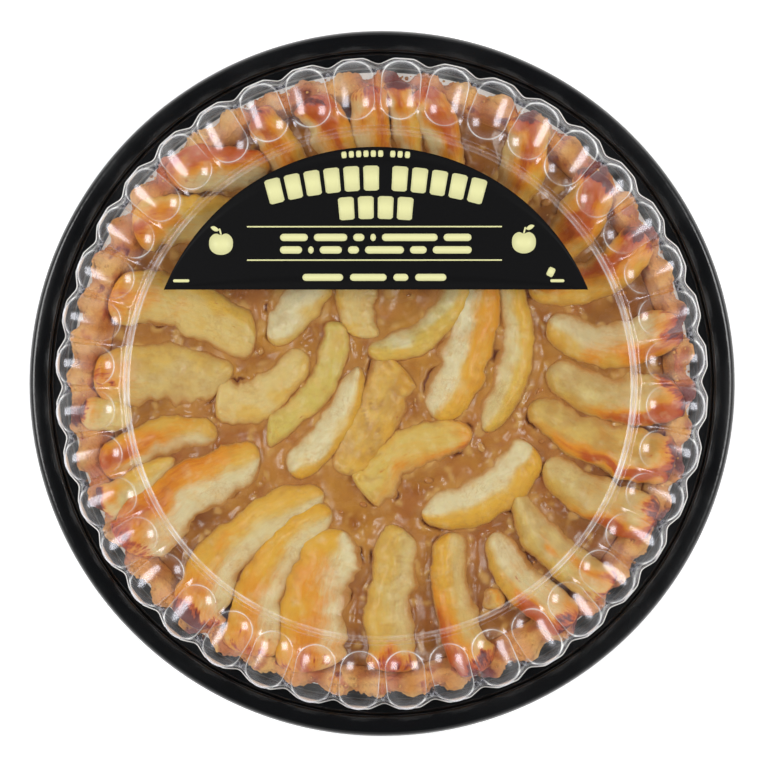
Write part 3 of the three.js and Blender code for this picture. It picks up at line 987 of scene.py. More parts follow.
@dataclass
class FruitSlices:
    """All the slices, each a piece of its own that stands for its node."""

    bed: Bed
    finish: BakedApple = BakedApple()
    rows: int = 64
    across: int = 28
    sink: float = 1.6
    edge_dip: float = 1.2  # how far the top's lowest edge lies under its bed
    plump: float = 0.7  # what a slice has over its bare height
    wider: float = 0.6  # how far each side goes on under the gel
    rim_from: float = 111.0
    rim_past: float = 3.5
    slices: list[Slice] = field(default_factory=lambda: ring_slices() + middle_slices())

    def middle_line(self, one: Slice, t: np.ndarray) -> tuple[np.ndarray, ...]:
        """Points, sideways directions and half widths along a slice.

        The middle line is the quadratic curve through its three points. The
        half width is a little more than what the gel leaves bare. It is
        widest at a seeded place and falls by taper k to a tip as 1 - k d^2;
        over a length e at each tip it is also cut by the superellipse
        (1 - (1 - d/e)^2.4)^(1/2.4), which makes blunt ends.

        Args:
            one: the slice.
            t: places along it, 0 at the outer tip and 1 at the inner.

        Returns:
            Points (n, 2), unit directions to its left (n, 2), half widths
            (n,) and how full the tips' rounding leaves each place (n,).
        """
        a, m, b = (np.array(p, float) for p in (one.outer, one.middle, one.inner))
        control = 2 * m - (a + b) / 2
        s = t[:, None]
        at = (1 - s) ** 2 * a + 2 * s * (1 - s) * control + s**2 * b
        run = 2 * (1 - s) * (control - a) + 2 * s * (b - control)
        run /= np.linalg.norm(run, axis=1, keepdims=True)
        rng = np.random.default_rng(sum(map(ord, one.name)) + len(one.name) * int(one.width * 7))
        widest, outer_end, inner_end = rng.uniform((0.35, 0.8, 0.8), (0.6, 1.2, 1.2))
        outer_end, inner_end = outer_end * one.tips[0], inner_end * one.tips[1]
        falls = one.taper[0] * np.clip(1 - t / widest, 0, 1) ** 2
        falls = falls + one.taper[1] * np.clip((t - widest) / (1 - widest), 0, 1) ** 2
        half = (one.width / 2 + self.wider) * (1 - falls)
        length = math.dist(a, m) + math.dist(m, b)
        outer_share = np.clip(t * length / (outer_end * one.width / 2), 0, 1)
        inner_share = np.clip((1 - t) * length / (inner_end * one.width / 2), 0, 1)
        full = ((1 - (1 - outer_share) ** 2.4) * (1 - (1 - inner_share) ** 2.4)) ** (1 / 2.4)
        return at, np.stack([-run[:, 1], run[:, 0]], -1), half * full, full

    def plan(
        self, one: Slice, seed: int, t: np.ndarray, s: np.ndarray, shrink: float = 1.0
    ) -> np.ndarray:
        """Places on the plan of a slice, uneven towards its outline.

        Those past the rim's start are eased back by a hyperbolic tangent, so
        that none lies more than rim_past beyond it.

        Args:
            one: the slice.
            seed: varies its outline.
            t: places along it.
            s: places across it, -1 on the hollow side to 1 on the round.
            shrink: makes it narrower.

        Returns:
            (len(t), len(s), 2) array of x and y.
        """
        at, sideways, half, _ = self.middle_line(one, t)
        length = math.dist(one.outer, one.middle) + math.dist(one.middle, one.inner)
        run = np.stack([sideways[:, 1], -sideways[:, 0]], -1)
        lean = np.random.default_rng(seed).uniform(-0.3, 0.3, 2)
        slant = (one.cut[0] + lean[0]) * (1 - t) ** 5 + (one.cut[1] + lean[1]) * t**5
        line = np.stack([t * length, np.full(t.shape, seed * 7.0)], -1)
        torn = one.ragged * 0.16 * waves(line, 5.0, seed + 9, 2)[:, None]
        wave = 0.055 * waves(line, 19.0, seed, 2)[:, None] + torn
        other = 0.07 * waves(line + 50, 15.0, seed + 5, 2)[:, None] - torn
        off = s[None, :] * one.peel * (half * shrink)[:, None] * (1 + np.where(s > 0, wave, other))
        ahead = (off * slant[:, None])[..., None] * run[:, None]
        spot = at[:, None] + sideways[:, None] * off[..., None] + ahead
        radius = np.hypot(spot[..., 0], spot[..., 1])
        past = np.maximum(radius - self.rim_from, 0.0)
        eased = self.rim_past * np.tanh(past / self.rim_past)
        return spot * (1 - (past - eased) / radius)[..., None]

    def clearance(self, x: np.ndarray, y: np.ndarray) -> np.ndarray:
        """Distance from each point to the nearest slice's outline.

        It is the least distance to 64 lines drawn across every slice from
        outline to outline, less 0.4, which is half their spacing. Points more
        than 14 mm off a slice's box are left at 99.

        Args:
            x: places along X.
            y: places along Y.

        Returns:
            The distance in mm, a little less than 0 inside a slice.
        """
        nearest = np.full(x.shape, 99.0)
        for seed, one in enumerate(self.slices, start=3):
            ends = self.plan(one, seed, np.linspace(0.01, 0.99, 64), np.array([-1.0, 1.0]))
            start, step = ends[:, 0], ends[:, 1] - ends[:, 0]
            low, high = ends.min((0, 1)) - 14, ends.max((0, 1)) + 14
            near = (x > low[0]) & (x < high[0]) & (y > low[1]) & (y < high[1])
            dx, dy = x[near][:, None] - start[:, 0], y[near][:, None] - start[:, 1]
            share = np.clip((dx * step[:, 0] + dy * step[:, 1]) / (step**2).sum(1), 0, 1)
            gap = np.hypot(dx - share * step[:, 0], dy - share * step[:, 1]).min(1) - 0.4
            nearest[near] = np.minimum(nearest[near], gap)
        return nearest

    def section(self, one: Slice, s: np.ndarray) -> np.ndarray:
        """Height across a slice, 0 to 1, at s from -1 (hollow) to 1 (round).

        A wedge has a rounded low edge, climbs straight to a ridge and falls
        as a quarter round, and the ridge is softened by a smooth least of the
        two. A flat one is a low table, (1 - |s|^3)^0.6, that rises a little
        to its round side.

        Args:
            one: the slice.
            s: places across it.

        Returns:
            The height at each of them.
        """
        if one.form is Form.FLAT:
            return (1 - np.abs(s) ** 3.0) ** 0.6 * (0.84 + 0.12 * s)
        ridge, rounding, sharp = 0.15, 0.28, 12
        edge = np.sqrt(np.clip(1 - np.clip((rounding - 1 - s) / rounding, 0, 1) ** 2, 0, 1))
        slope = (0.2 + 0.84 * np.clip((1 + s) / (1 + ridge), 0, 1.2)) * edge
        round_side = np.sqrt(np.clip(1 - np.clip((s - ridge) / (1 - ridge), 0, 1) ** 2, 0, 1))
        least = -np.log(np.exp(-sharp * slope) + np.exp(-sharp * round_side)) / sharp
        return np.maximum(least + 0.01, 0)

    def surface(self, one: Slice, seed: int) -> Surface:
        """The closed surface of one slice, with its baking masks.

        Rows lie closer together toward the tips. The top stands over its bed
        by the section times the slice's height and the 0.8th power of how
        full the tip is there; it is lower toward the rim, has waves of two
        sizes and creases of up to 0.7 mm, and a soft least keeps it under
        the dome. The underside is 0.96 as wide and sunk into the gel.

        Args:
            one: the slice.
            seed: varies its unevenness.

        Returns:
            The surface, ready to build.
        """
        t = 0.5 - 0.5 * np.cos(np.linspace(0.0, math.pi, self.rows))
        _, _, half, full = self.middle_line(one, t)
        s_top = np.sin(np.linspace(-math.pi / 2, math.pi / 2, self.across))
        top = self.plan(one, seed, t, s_top)
        radius = np.hypot(top[..., 0], top[..., 1])
        bed = self.bed.under_fruit(top[..., 0], top[..., 1])
        lift = self.section(one, s_top)[None, :] * (full**0.8)[:, None]
        lift = lift * (1 - 0.5 * smoothstep(radius, 103.0, 113.0))
        z = bed - self.edge_dip + lift * (one.height + self.plump)
        spot = np.concatenate([top, z[..., None]], -1)
        z = z + lift * (0.3 * waves(spot, 13.0, seed + 50, 2) + 0.16 * waves(spot, 3.6, seed + 90, 2))
        fold = np.exp(-((waves(spot, 9.0, seed + 70, 1) / 0.22) ** 2)) * smoothstep(lift, 0.4, 0.8)
        fold = fold * smoothstep(waves(spot, 17.0, seed + 80, 1), -0.5, 1.0)
        z = z - 0.7 * one.crease * fold
        z = -np.logaddexp(-2.5 * z, -2.5 * self.ceiling(radius)) / 2.5
        upper = np.concatenate([top, z[..., None]], -1)
        s_low = np.linspace(1.0, -1.0, 9)[1:-1]
        low = self.plan(one, seed, t, s_low, 0.96)
        deep = self.bed.under_fruit(low[..., 0], low[..., 1]) - 0.9 - self.sink * full[:, None]
        lower = np.concatenate([low, np.minimum(deep, 40)[..., None]], -1)
        loop = np.concatenate([upper, lower], axis=1)
        s_all = np.concatenate([s_top, s_low])
        top_side = np.concatenate([np.ones_like(s_top), np.zeros_like(s_low)])
        tips = ring_middles(loop)
        skin = np.concatenate([tips[:1], loop[1:-1], tips[1:]])
        masks = self.masks(one, t[:, None], s_all[None, :], top_side[None, :], seed)
        above = np.pad(z - bed, ((0, 0), (0, len(s_low))), mode="edge")
        inside = half[:, None] * (1 - np.abs(s_all[None, :]))
        soak = np.where((s_all[None, :] < 0) & (one.form is Form.WEDGE), 2.6, 0.9)
        wet = 1 - smoothstep(np.hypot(skin[..., 0], skin[..., 1]), 88.0, 98.0)
        sunk = 0.9 * np.exp(-np.maximum(above - 1.3, 0.0) / 1.2)
        masks["stain"] = np.maximum(sunk * wet, np.exp(-inside / soak) * (0.45 + 0.55 * wet))
        # the fold mask carries painted shade for the creases
        masks["fold"] = one.crease * np.pad(fold, ((0, 0), (0, len(s_low))))
        return Surface(f"slice_{one.name}").grid(skin, loop=True, flip=one.peel > 0, **masks)

    def ceiling(self, radius: np.ndarray) -> np.ndarray:
        """Highest a slice may reach under the dome at a radius."""
        return np.interp(radius, [96.5, 98, 105, 114.5, 118], [35.3, 33.6, 32.4, 28.2, 25.0])

    def masks(
        self, one: Slice, t: np.ndarray, s: np.ndarray, top: np.ndarray, seed: int
    ) -> dict[str, np.ndarray]:
        """How much each spot is pale, golden, green, brown, toasted and burnt,
        and where it lies along and across the slice, for the fibres.

        Args:
            one: the slice.
            t: column of places along it.
            s: row of places across it.
            top: row with 1 on its upper side.
            seed: varies the borders.

        Returns:
            One array for each mask.
        """
        place = np.stack(np.broadcast_arrays(t * 40.0, s * 8.0), -1)
        blur = 0.14 * waves(place, 16.0, seed + 11, 2)
        round_side = smoothstep(s + blur, one.skin, one.skin + 0.85)
        if one.form is Form.FLAT:
            round_side = 0.5 + 0.5 * smoothstep(s + 2 * blur, 0.3, 0.9)
        stripe = np.exp(-(((s - one.stripe + blur) / (0.6 if one.skin < 0.1 else 0.3)) ** 2))
        fade = 1.0 - smoothstep(t + blur * 0.6, one.reach * 0.35, one.reach)
        tip = 1.0 - smoothstep(t + blur * 0.3, 0.02, 0.19)
        rim = math.hypot(*one.outer) * (1 - t) + math.hypot(*one.inner) * t
        toast = one.toast * fade * (0.2 + 0.8 * stripe) + 0.5 * one.toast * tip
        toast = toast + 0.2 * smoothstep(rim, 88.0, 106.0) * smoothstep(blur, -0.08, 0.2)
        return {
            "pale": one.pale * (1 - round_side) * top,
            "golden": one.golden * round_side * np.ones_like(t),
            "green": one.green * np.ones_like(blur),
            "brown": one.brown * np.ones_like(blur),
            "along": t * math.dist(one.outer, one.inner) + 0.0 * s,
            "across": s * one.width / 2 + seed * 31.0 + 0.0 * t,
            "toast": toast,
            "burnt": one.burnt * tip * (0.75 + 0.55 * stripe),
        }

    def build(self) -> list[bpy.types.Object]:
        """Makes every slice.

        Returns:
            The pieces, in the order of the slices.
        """
        material = self.finish.material()
        return [
            self.surface(one, seed).build(material, f"apple_{one.name}")
            for seed, one in enumerate(self.slices, start=3)
        ]


@dataclass
class FruitGel:
    """The set gel between the slices, with pulp in it."""

    bed: Bed
    fruit: FruitSlices
    finish: FruitGelFinish = FruitGelFinish()
    bottom: float = 8.0
    taper: float = 0.985  # the bottom's radius as a share of the edge's
    cells: int = 286
    bits: int = 46
    tries: int = 9000
    pulp_radius: float = 97.0

    def top(self) -> tuple[np.ndarray, ...]:
        """The upper surface, its cracks and the pulp that shows in it.

        A square grid (u, v) of -1 to 1 is bent to a disc by x = u sqrt(1 -
        v^2/2), y = v sqrt(1 - u^2/2), then scaled to the crust's inner edge.
        Its height is the bed's with lumps, rougher close to some slices; it
        climbs a little to each slice by e^(-gap/2.6), and stretches along
        the slices' sides are cracked.

        Returns:
            Points (n, n, 3), and masks (n, n) of the painted shade in its cracks, of pulp, of how near a
            slice each point is and of how deep the gel lies, which makes it darker.
        """
        side = np.linspace(-1.0, 1.0, self.cells + 1)
        u, v = np.meshgrid(side, side)
        x, y = u * np.sqrt(1 - v * v / 2), v * np.sqrt(1 - u * u / 2)
        reach = self.bed.crust_inner(np.arctan2(y, x)) + 1.0
        x, y = x * reach, y * reach
        flat = np.stack([x, y], -1)
        gap = self.fruit.clearance(x, y)
        near = np.exp(-np.maximum(gap, 0.0) / 2.6)
        rough = smoothstep(waves(flat, 19.0, 14, 2) + 0.5 * near, 0.5, 1.6)
        rough *= 1 - 0.8 * smoothstep(np.hypot(x, y), 82.0, 92.0)
        lumps = 0.3 * waves(flat, 15.0, 1, 2) + 0.16 * rough * waves(flat, 3.4, 2, 2)
        pulp = smoothstep(waves(flat, 9.0, 5, 2) + 0.5 * near, 1.0, 2.4)
        meet = 1.3 * np.exp(-np.maximum(gap, 0.0) / 2.6)
        split = smoothstep(waves(flat, 22.0, 9, 2), 1.2, 2.0)
        # the cracks dip the gel, and the same profile, scaled by 0.9, paints their shade
        crack = np.exp(-((np.maximum(gap, 0.0) / 0.55) ** 1.6)) * split
        z = self.bed.gel(x, y) + 0.1 + lumps + 0.3 * pulp + meet - 1.7 * crack
        z -= 0.25 * smoothstep(np.hypot(x, y), 84.0, 96.0)
        deep = smoothstep(np.hypot(x, y), 52.0, 88.0) * (0.75 + 0.25 * waves(flat, 24.0, 17, 2))
        return np.stack([x, y, z], -1), 0.9 * crack, pulp, near, deep

    def scatter(self) -> np.ndarray:
        """Places for pulp: points on open gel, more of them close to slices.

        Returns:
            (bits, 2) array of x and y.
        """
        rng = np.random.default_rng(21)
        spread = rng.uniform(-98, 98, (self.tries, 2))
        gap = self.fruit.clearance(spread[:, 0], spread[:, 1])
        keep = (np.hypot(*spread.T) < self.pulp_radius) & (gap > 0.2)
        keep = keep & (rng.uniform(size=self.tries) < np.exp(-gap / 4))
        return spread[keep][: self.bits]

    def build(self) -> list[bpy.types.Object]:
        """Makes the gel and the pulp in it.

        Returns:
            Both pieces.
        """
        top, crack, pulp, near, deep = self.top()
        edge = np.concatenate([top[0, :-1], top[:-1, -1], top[-1, :0:-1], top[:0:-1, 0]])
        low = edge.copy()
        low[:, :2] *= self.taper
        low[:, 2] = self.bottom
        middle = np.broadcast_to([0.0, 0.0, self.bottom], edge.shape)
        body = Surface("fruit_gel").grid(top, crack=crack, pulp=pulp, halo=near, deep=deep)
        body.grid(np.stack([middle, low, edge]), loop=True)
        gel = body.build(self.finish.material(), "filling")
        return [gel, self.pulp().build(PulpFinish().material(), slot="filling")]

    def pulp(self) -> Surface:
        """Small soft lumps of fruit half sunk in the gel: uneven ellipsoids.

        Returns:
            One surface with all of them.
        """
        rng = np.random.default_rng(4)
        surface = Surface("fruit_pulp")
        turn, rise = circle(8), np.linspace(-math.pi / 2, math.pi / 2, 6)
        unit = turned(np.stack([np.cos(rise), np.sin(rise)], -1), turn)
        for x, y in self.scatter():
            size = rng.uniform(0.5, 1.5) * np.array([rng.uniform(1, 1.8), 1.0, 0.5])
            angle = rng.uniform(0, math.pi)
            blob = unit * size * (1 + 0.12 * waves(unit * 3 + x, 3.0, 8, 1)[..., None])
            blob = blob @ rotation(angle)
            z = float(self.bed.gel(np.array(x), np.array(y))) + 0.45
            surface.grid(blob + [x, y, z], loop=True, pale=np.full((6, 8), rng.uniform()))
        return surface


# -------------------------------------------------------------------- crust


@dataclass
class Crust:
    """The fluted shortbread cup, hand-pressed and crumbly at its edge."""

    bed: Bed
    fruit: FruitSlices
    finish: BakedPastry = BakedPastry()
    base: float = 2.3
    radius: float = 115.9
    flutes: int = 48
    depth: float = 1.6
    crown: float = 6.5  # angle of the first flute's crest, in degrees
    widest: float = 117.5
    inside: float = 8.0  # height at which the cup's inner side is closed
    columns: int = 1200

    def path(self) -> np.ndarray:
        """Outer wall, rim and inner slope.

        Returns:
            Rows of radius and height.
        """
        corners = [
            (111.4, 2.3), (112.6, 3.4, 0.8, 3), (114.9, 12.3, 3.0, 3), (116.0, 22.4, 2.0, 6),
            (114.4, 25.0, 1.3, 6), (109.3, 24.6, 1.6, 6), (104.6, 16.6, 1.5, 3), (102.4, 8.0),
        ]
        return rounded_path(corners, [0, 4, 6, 2, 7, 7, 3])

    def build(self) -> bpy.types.Object:
        """Makes the cup.

        The profile is turned about Z. Its outer side is moved out and in by
        the flutes, 1 - 2 |sin|^2.4 of half their angle, whose depth varies
        round the cup. Its inner side follows the gel's edge, and its rim is
        made uneven by waves and nicks.

        Returns:
            The piece.
        """
        path, angle = self.path(), circle(self.columns)
        radius, height = (np.repeat(path[:, i : i + 1], self.columns, axis=1) for i in (0, 1))
        rim = smoothstep(height, 14.0, 23.0)
        row = np.arange(len(path))
        outside = 1 - smoothstep(row, len(path) * 0.52, len(path) * 0.74)[:, None]
        phase = self.flutes * (angle - math.radians(self.crown)) / 2
        flute = 1 - 2 * np.abs(np.sin(phase)) ** 2.4
        lobe = 1 + 0.25 * np.sin(5 * angle + 1) + 0.2 * np.sin(13 * angle)
        radius = radius + outside * self.depth * (0.6 + 0.4 * rim) * (flute * lobe - 0.15)
        inward = smoothstep(-radius, -113.0, -105.0)
        radius = radius + inward * (self.bed.crust_inner(angle) - self.bed.inner)
        spot = np.stack(
            np.broadcast_arrays(radius * np.cos(angle), radius * np.sin(angle), height), -1)
        crumb = 0.45 * waves(spot, 6.0, 31, 3) + 0.26 * waves(spot, 2.1, 32, 2)
        nick = smoothstep(waves(spot, 7.0, 33, 2), 0.9, 2.0) * smoothstep(radius, 111.0, 115.0) * rim
        radius = radius + outside * (crumb * (0.4 + 0.6 * rim) - 1.1 * nick)
        radius = np.minimum(radius, self.widest)
        rough = 0.35 * waves(spot, 12.0, 34, 3) + 0.18 * waves(spot, 2.2, 35, 2)
        height = height + rim * (rough - 0.5 * nick)
        points = np.stack([radius * np.cos(angle), radius * np.sin(angle), height], -1)
        masks = self.masks(points, flute[None, :], rim, inward)
        zeros = {key: np.zeros((1, self.columns)) for key in masks}
        low = np.broadcast_to([0.0, 0.0, self.base], (1, self.columns, 3))
        high = np.broadcast_to([0.0, 0.0, self.inside], (1, self.columns, 3))
        points = np.concatenate([low, points, high])
        masks = {key: np.concatenate([zeros[key], held, zeros[key]]) for key, held in masks.items()}
        surface = Surface("crust_pastry").grid(points, loop=True, **masks)
        return surface.build(self.finish.material(), "crust")

    def masks(
        self, points: np.ndarray, flute: np.ndarray, rim: np.ndarray, inward: np.ndarray
    ) -> dict[str, np.ndarray]:
        """Where the pastry is browned, juicy and burnt, and where shade is painted on it.

        Painted shade darkens the valleys between flutes and, a little, the lower cup; it is browned on the
        inner slope and in seeded patches; juicy in seeded patches and on the inner slope; burnt round the
        tips of the burnt slices and in seeded spots on the slope.

        Args:
            points: the grid's points.
            flute: row with 1 on a flute's crest and -1 in a valley.
            rim: 0 low on the cup to 1 on its rim.
            inward: 0 outside to 1 on the inner slope.

        Returns:
            One array for each mask.
        """
        x, y = points[..., 0], points[..., 1]
        spread = waves(points, 16.0, 41, 3)
        # painted shade darkens the flute valleys and, a little, the lower cup; the inner slope and the
        # seeded spread are browning
        baked = 0.3 * (1 - flute) * (1 - inward) + 0.6 * inward + 0.2 * spread + 0.1 * (1 - rim)
        juice = rim * smoothstep(waves(points, 13.0, 42, 3), 0.3, 2.0) * 0.8
        burnt = np.zeros_like(x)
        for one in self.fruit.slices:
            if one.burnt > 0 and one.name.startswith("ring"):
                tip = np.array(one.outer, float)
                tip *= 1 + 2.0 / np.linalg.norm(tip)
                far = np.hypot(x - tip[0], y - tip[1])
                burnt = np.maximum(burnt, one.burnt * np.exp(-((far / 5.0) ** 2)))
                juice = np.maximum(juice, 0.9 * one.toast * np.exp(-((far / 9.0) ** 2)))
        caught = smoothstep(waves(points, 10.0, 44, 2), 0.7, 1.7)
        caught = caught * smoothstep(-np.hypot(x, y), -113.5, -110.0)
        burnt = np.maximum(burnt, 0.5 * caught)
        juice = np.maximum(juice, 0.7 * caught)
        juice = np.maximum(juice, 0.6 * smoothstep(waves(points, 12.0, 45, 2), -0.2, 1.2) * inward)
        return {"baked": np.clip(baked, 0, 1), "juice": juice * rim, "burnt": burnt * rim}


@dataclass
class Crumbs:
    """Loose crumbs on the rim and fallen round the foot of the crust."""

    finish: BakedPastry = BakedPastry()
    on_rim: int = 150
    fallen: int = 110
    rim_band: tuple = (109.5, 114.0)
    rim_height: float = 25.0
    foot_band: tuple = (116.0, 117.6)
    foot_height: float = 2.0

    def build(self) -> bpy.types.Object:
        """Makes them: small uneven balls of 6 by 5 points.

        Returns:
            The piece.
        """
        rng = np.random.default_rng(77)
        surface = Surface("crumbs")
        turn, rise = circle(6), np.linspace(-math.pi / 2, math.pi / 2, 5)
        unit = turned(np.stack([np.cos(rise), np.sin(rise)], -1), turn)
        for i in range(self.on_rim + self.fallen):
            angle = rng.uniform(0, 2 * math.pi)
            size = rng.uniform(0.25, 0.75)
            if i < self.on_rim:
                radius, z = rng.uniform(*self.rim_band), self.rim_height + 0.4 * size
            else:
                radius, z = rng.uniform(*self.foot_band), self.foot_height + 0.7 * size
            ball = unit * size * rng.uniform(0.7, 1.2, 3)
            bumps = 0.2 * rng.uniform(-1, 1, ball.shape[:2])[..., None]
            ball = ball * (1 + bumps * (np.abs(unit[..., 2:]) < 0.9))
            centre = [radius * math.cos(angle), radius * math.sin(angle), z]
            surface.grid(ball + centre, loop=True, baked=np.full((5, 6), rng.uniform(0, 0.5)))
        return surface.build(self.finish.material(), slot="crust")


# --------------------------------------------------------------------- pack


@dataclass
class Tray:
    """The black plate: floor, ledge under the dome's foot, rim and lip."""

    finish: BlackTrayPlastic = BlackTrayPlastic()
    wall: float = 0.8
    columns: int = 256

    def build(self) -> bpy.types.Object:
        """Makes it: the upper side's profile and the same one lowered by the
        wall along its normals, both turned about Z.

        Returns:
            The piece.
        """
        corners = [
            (0.0, 0.8), (118.6, 0.8, 0.9, 4), (119.5, 6.6, 0.8, 4), (124.7, 6.6, 0.7, 4),
            (125.5, 9.3, 0.8, 4), (128.6, 10.05, 1.4, 4), (132.2, 9.9, 1.3, 7),
            (133.3, 7.6, 1.0, 4), (133.35, 4.7),
        ]
        upper = rounded_path(corners, [6, 3, 2, 2, 2, 1, 1, 3])
        run = np.gradient(upper, axis=0)
        run /= np.linalg.norm(run, axis=1, keepdims=True)
        normal = np.stack([run[:, 1], -run[:, 0]], -1)
        lower = upper + normal * self.wall
        lower[:, 1] = np.maximum(lower[:, 1], 0.0)
        lower[0, 0] = 0.0
        profile = np.concatenate([lower, upper[::-1]])
        surface = Surface("tray_plastic").grid(turned(profile, circle(self.columns)), loop=True)
        return surface.build(self.finish.material(), "tray")


@dataclass
class CardDisc:
    """The white board disc under the tart, slid a little to the upper left."""

    finish: WhiteBoard = WhiteBoard()
    radius: float = 117.3
    slid: tuple = (-0.5, 0.7, 0.0)
    bottom: float = 1.2
    top: float = 2.0

    def build(self) -> bpy.types.Object:
        """Makes the disc, with slightly rounded edges.

        Returns:
            The piece.
        """
        corners = [
            (0.0, self.bottom), (self.radius, self.bottom, 0.2, 2),
            (self.radius, self.top, 0.2, 2), (0.0, self.top),
        ]
        profile = rounded_path(corners, [3, 1, 3])
        surface = Surface("card_board").grid(turned(profile, circle(240)) + self.slid, loop=True)
        return surface.build(self.finish.material(), "card")


@dataclass
class Dome:
    """The clear lid: flat top, raised ring and forty finger flutes.

    A half flute is a grid of spokes and columns. Spokes fan round the
    finger's inner end, cross its straight part and fan round its outer end;
    the last ones run down the wall to the scalloped foot. Columns 0 to 1 run
    from the finger's middle to its outline, and 1 to 2 from there down to the
    valley between two fingers or to the foot.
    """

    finish: ClearSheet = ClearSheet()
    flutes: int = 40
    first_angle: float = 5.0
    inner_centre: float = 105.8
    outer_centre: float = 113.6
    inner_half: float = 7.3
    outer_half: float = 7.25
    outer_reach: float = 6.5
    crown_radius: float = 11.7
    crown_top: float = 37.3
    crown_slope: float = 0.061
    crown_bend: float = 0.0055
    end_drop: float = 9.6
    start_radius: float = 96.0
    start_height: float = 35.2
    foot_height: float = 8.0
    foot: tuple = (119.8, 2.1)  # radius in the valley, and how far a crest stands out
    flange: tuple = (120.95, 2.3)
    wall: float = 0.45
    arc_spokes: int = 5
    side_spokes: int = 5
    straight_spokes: int = 5
    valley_spokes: int = 8
    foot_spokes: int = 10
    top: tuple = (0.0, 0.22, 0.42, 0.6, 0.76, 0.88, 0.965, 1.0)
    skirt: tuple = (0.12, 0.32, 0.58, 0.82, 1.0)
    top_glare: tuple = (0.0, 0.0, 0.0, 0.0, 0.0, 0.0, 0.14, 1.3)
    skirt_glare: tuple = (0.2, 0.0, 0.0, 0.0, 0.0)
    crown_glare: float = 0.11

    @property
    def half_angle(self) -> float:
        """Half of one flute's angle, in radians."""
        return math.pi / self.flutes

    def drop(self, across: np.ndarray) -> np.ndarray:
        """Fall of a circle of the crown's radius at a distance from its top."""
        return self.crown_radius - np.sqrt(self.crown_radius**2 - across**2)

    def crown(self, along: np.ndarray) -> np.ndarray:
        """Height of the finger's middle line: a parabola, 3.5 degrees down at
        the inner centre and 8.4 degrees at the outer one.

        Args:
            along: radii.

        Returns:
            The height at each of them.
        """
        d = along - self.inner_centre
        return self.crown_top - self.crown_slope * d - self.crown_bend * d * d

    def base(self, radius: np.ndarray) -> np.ndarray:
        """Height between the fingers, 0.0285 d^1.8 lower at d mm from the ring."""
        return self.start_height - 0.0285 * np.maximum(radius - self.start_radius, 0.0) ** 1.8

    def scallop(self, share: np.ndarray) -> np.ndarray:
        """How far the foot stands out: a level crest, a straight slope eased
        by quadratic bends over 0.22 of its run at both ends, and a valley.

        Args:
            share: 0 on a crest's middle to 1 in a valley's.

        Returns:
            1 on the crest to 0 in the valley.
        """
        run, ease = np.clip((share - 0.34) / 0.66, 0.0, 1.0), 0.22
        first, last = np.minimum(run, ease), np.maximum(run - 1 + ease, 0.0)
        straight = np.clip(run, ease, 1 - ease) - ease
        return 1 - (first**2 / (2 * ease) + straight + last - last**2 / (2 * ease)) / (1 - ease)

    def border(self) -> np.ndarray:
        """Where the spokes of the outer end stop: down the valley's wall to
        the foot, then along the scalloped foot to the crest.

        Returns:
            One point for each spoke.
        """
        valley = np.array([
            (115.8, 29.3), (116.6, 28.3), (117.2, 26.6), (117.6, 24.2),
            (118.1, 20.4), (118.7, 16.0), (119.25, 12.0), (self.foot[0], self.foot_height)])
        share = np.linspace(1.0, 0.0, self.foot_spokes + 1)[1:]
        radius = self.foot[0] + self.foot[1] * self.scallop(share)
        angle = np.concatenate([np.full(len(valley), 1.0), share]) * self.half_angle
        radius = np.concatenate([valley[:, 0], radius])
        height = np.concatenate([valley[:, 1], np.full(len(share), self.foot_height)])
        return np.stack([radius * np.cos(angle), radius * np.sin(angle), height], -1)

    def inner_part(self) -> np.ndarray:
        """Grid of the inner end and the straight part of a finger, one half:
        the crown falls sideways as a circle, and from its outline the sheet
        dips to the height between the fingers as (1 - share)^2.5.

        Returns:
            (spokes, columns, 3) array.
        """
        h, top, skirt = self.half_angle, np.array(self.top), np.array(self.skirt)
        beta = np.radians(np.concatenate([
            np.linspace(0, 50, self.arc_spokes + 1), np.linspace(50, 90, self.side_spokes + 1)[1:]]))
        w = np.linspace(self.inner_centre, self.outer_centre, self.straight_spokes + 1)[1:]
        share = (w - self.inner_centre) / (self.outer_centre - self.inner_centre)
        half = self.inner_half + (self.outer_half - self.inner_half) * share
        centre = np.concatenate([np.full(len(beta), self.inner_centre), w])
        aim = np.concatenate([
            np.stack([-np.cos(beta), np.sin(beta)], -1), np.broadcast_to([0.0, 1.0], (len(w), 2))])
        reach = np.concatenate([np.full(len(beta), self.inner_half), half])[:, None] * top
        x = centre[:, None] + aim[:, :1] * reach
        y = aim[:, 1:] * reach
        z = self.crown(np.maximum(x, self.inner_centre)) - self.drop(reach)
        z = z - self.crown_slope * np.minimum(x - self.inner_centre, 0.0)
        turn = np.linspace(0, h, self.arc_spokes + 1)
        along = np.linspace(self.start_radius, self.inner_centre / math.cos(h), self.side_spokes + 1)[1:]
        along = np.concatenate([along, w / math.cos(h)])
        edge = np.stack([x[:, -1], y[:, -1]], -1)
        out = np.concatenate([
            self.start_radius * np.stack([np.cos(turn), np.sin(turn)], -1),
            along[:, None] * [math.cos(h), math.sin(h)]])
        low = edge[:, None] + (out - edge)[:, None] * skirt[None, :, None]
        step = z[:, -1] - self.base(np.hypot(edge[:, 0], edge[:, 1]))
        low_z = self.base(np.hypot(low[..., 0], low[..., 1])) + step[:, None] * (1 - skirt) ** 2.5
        return np.concatenate([
            np.stack([x, y, z], -1), np.concatenate([low, low_z[..., None]], -1)], axis=1)

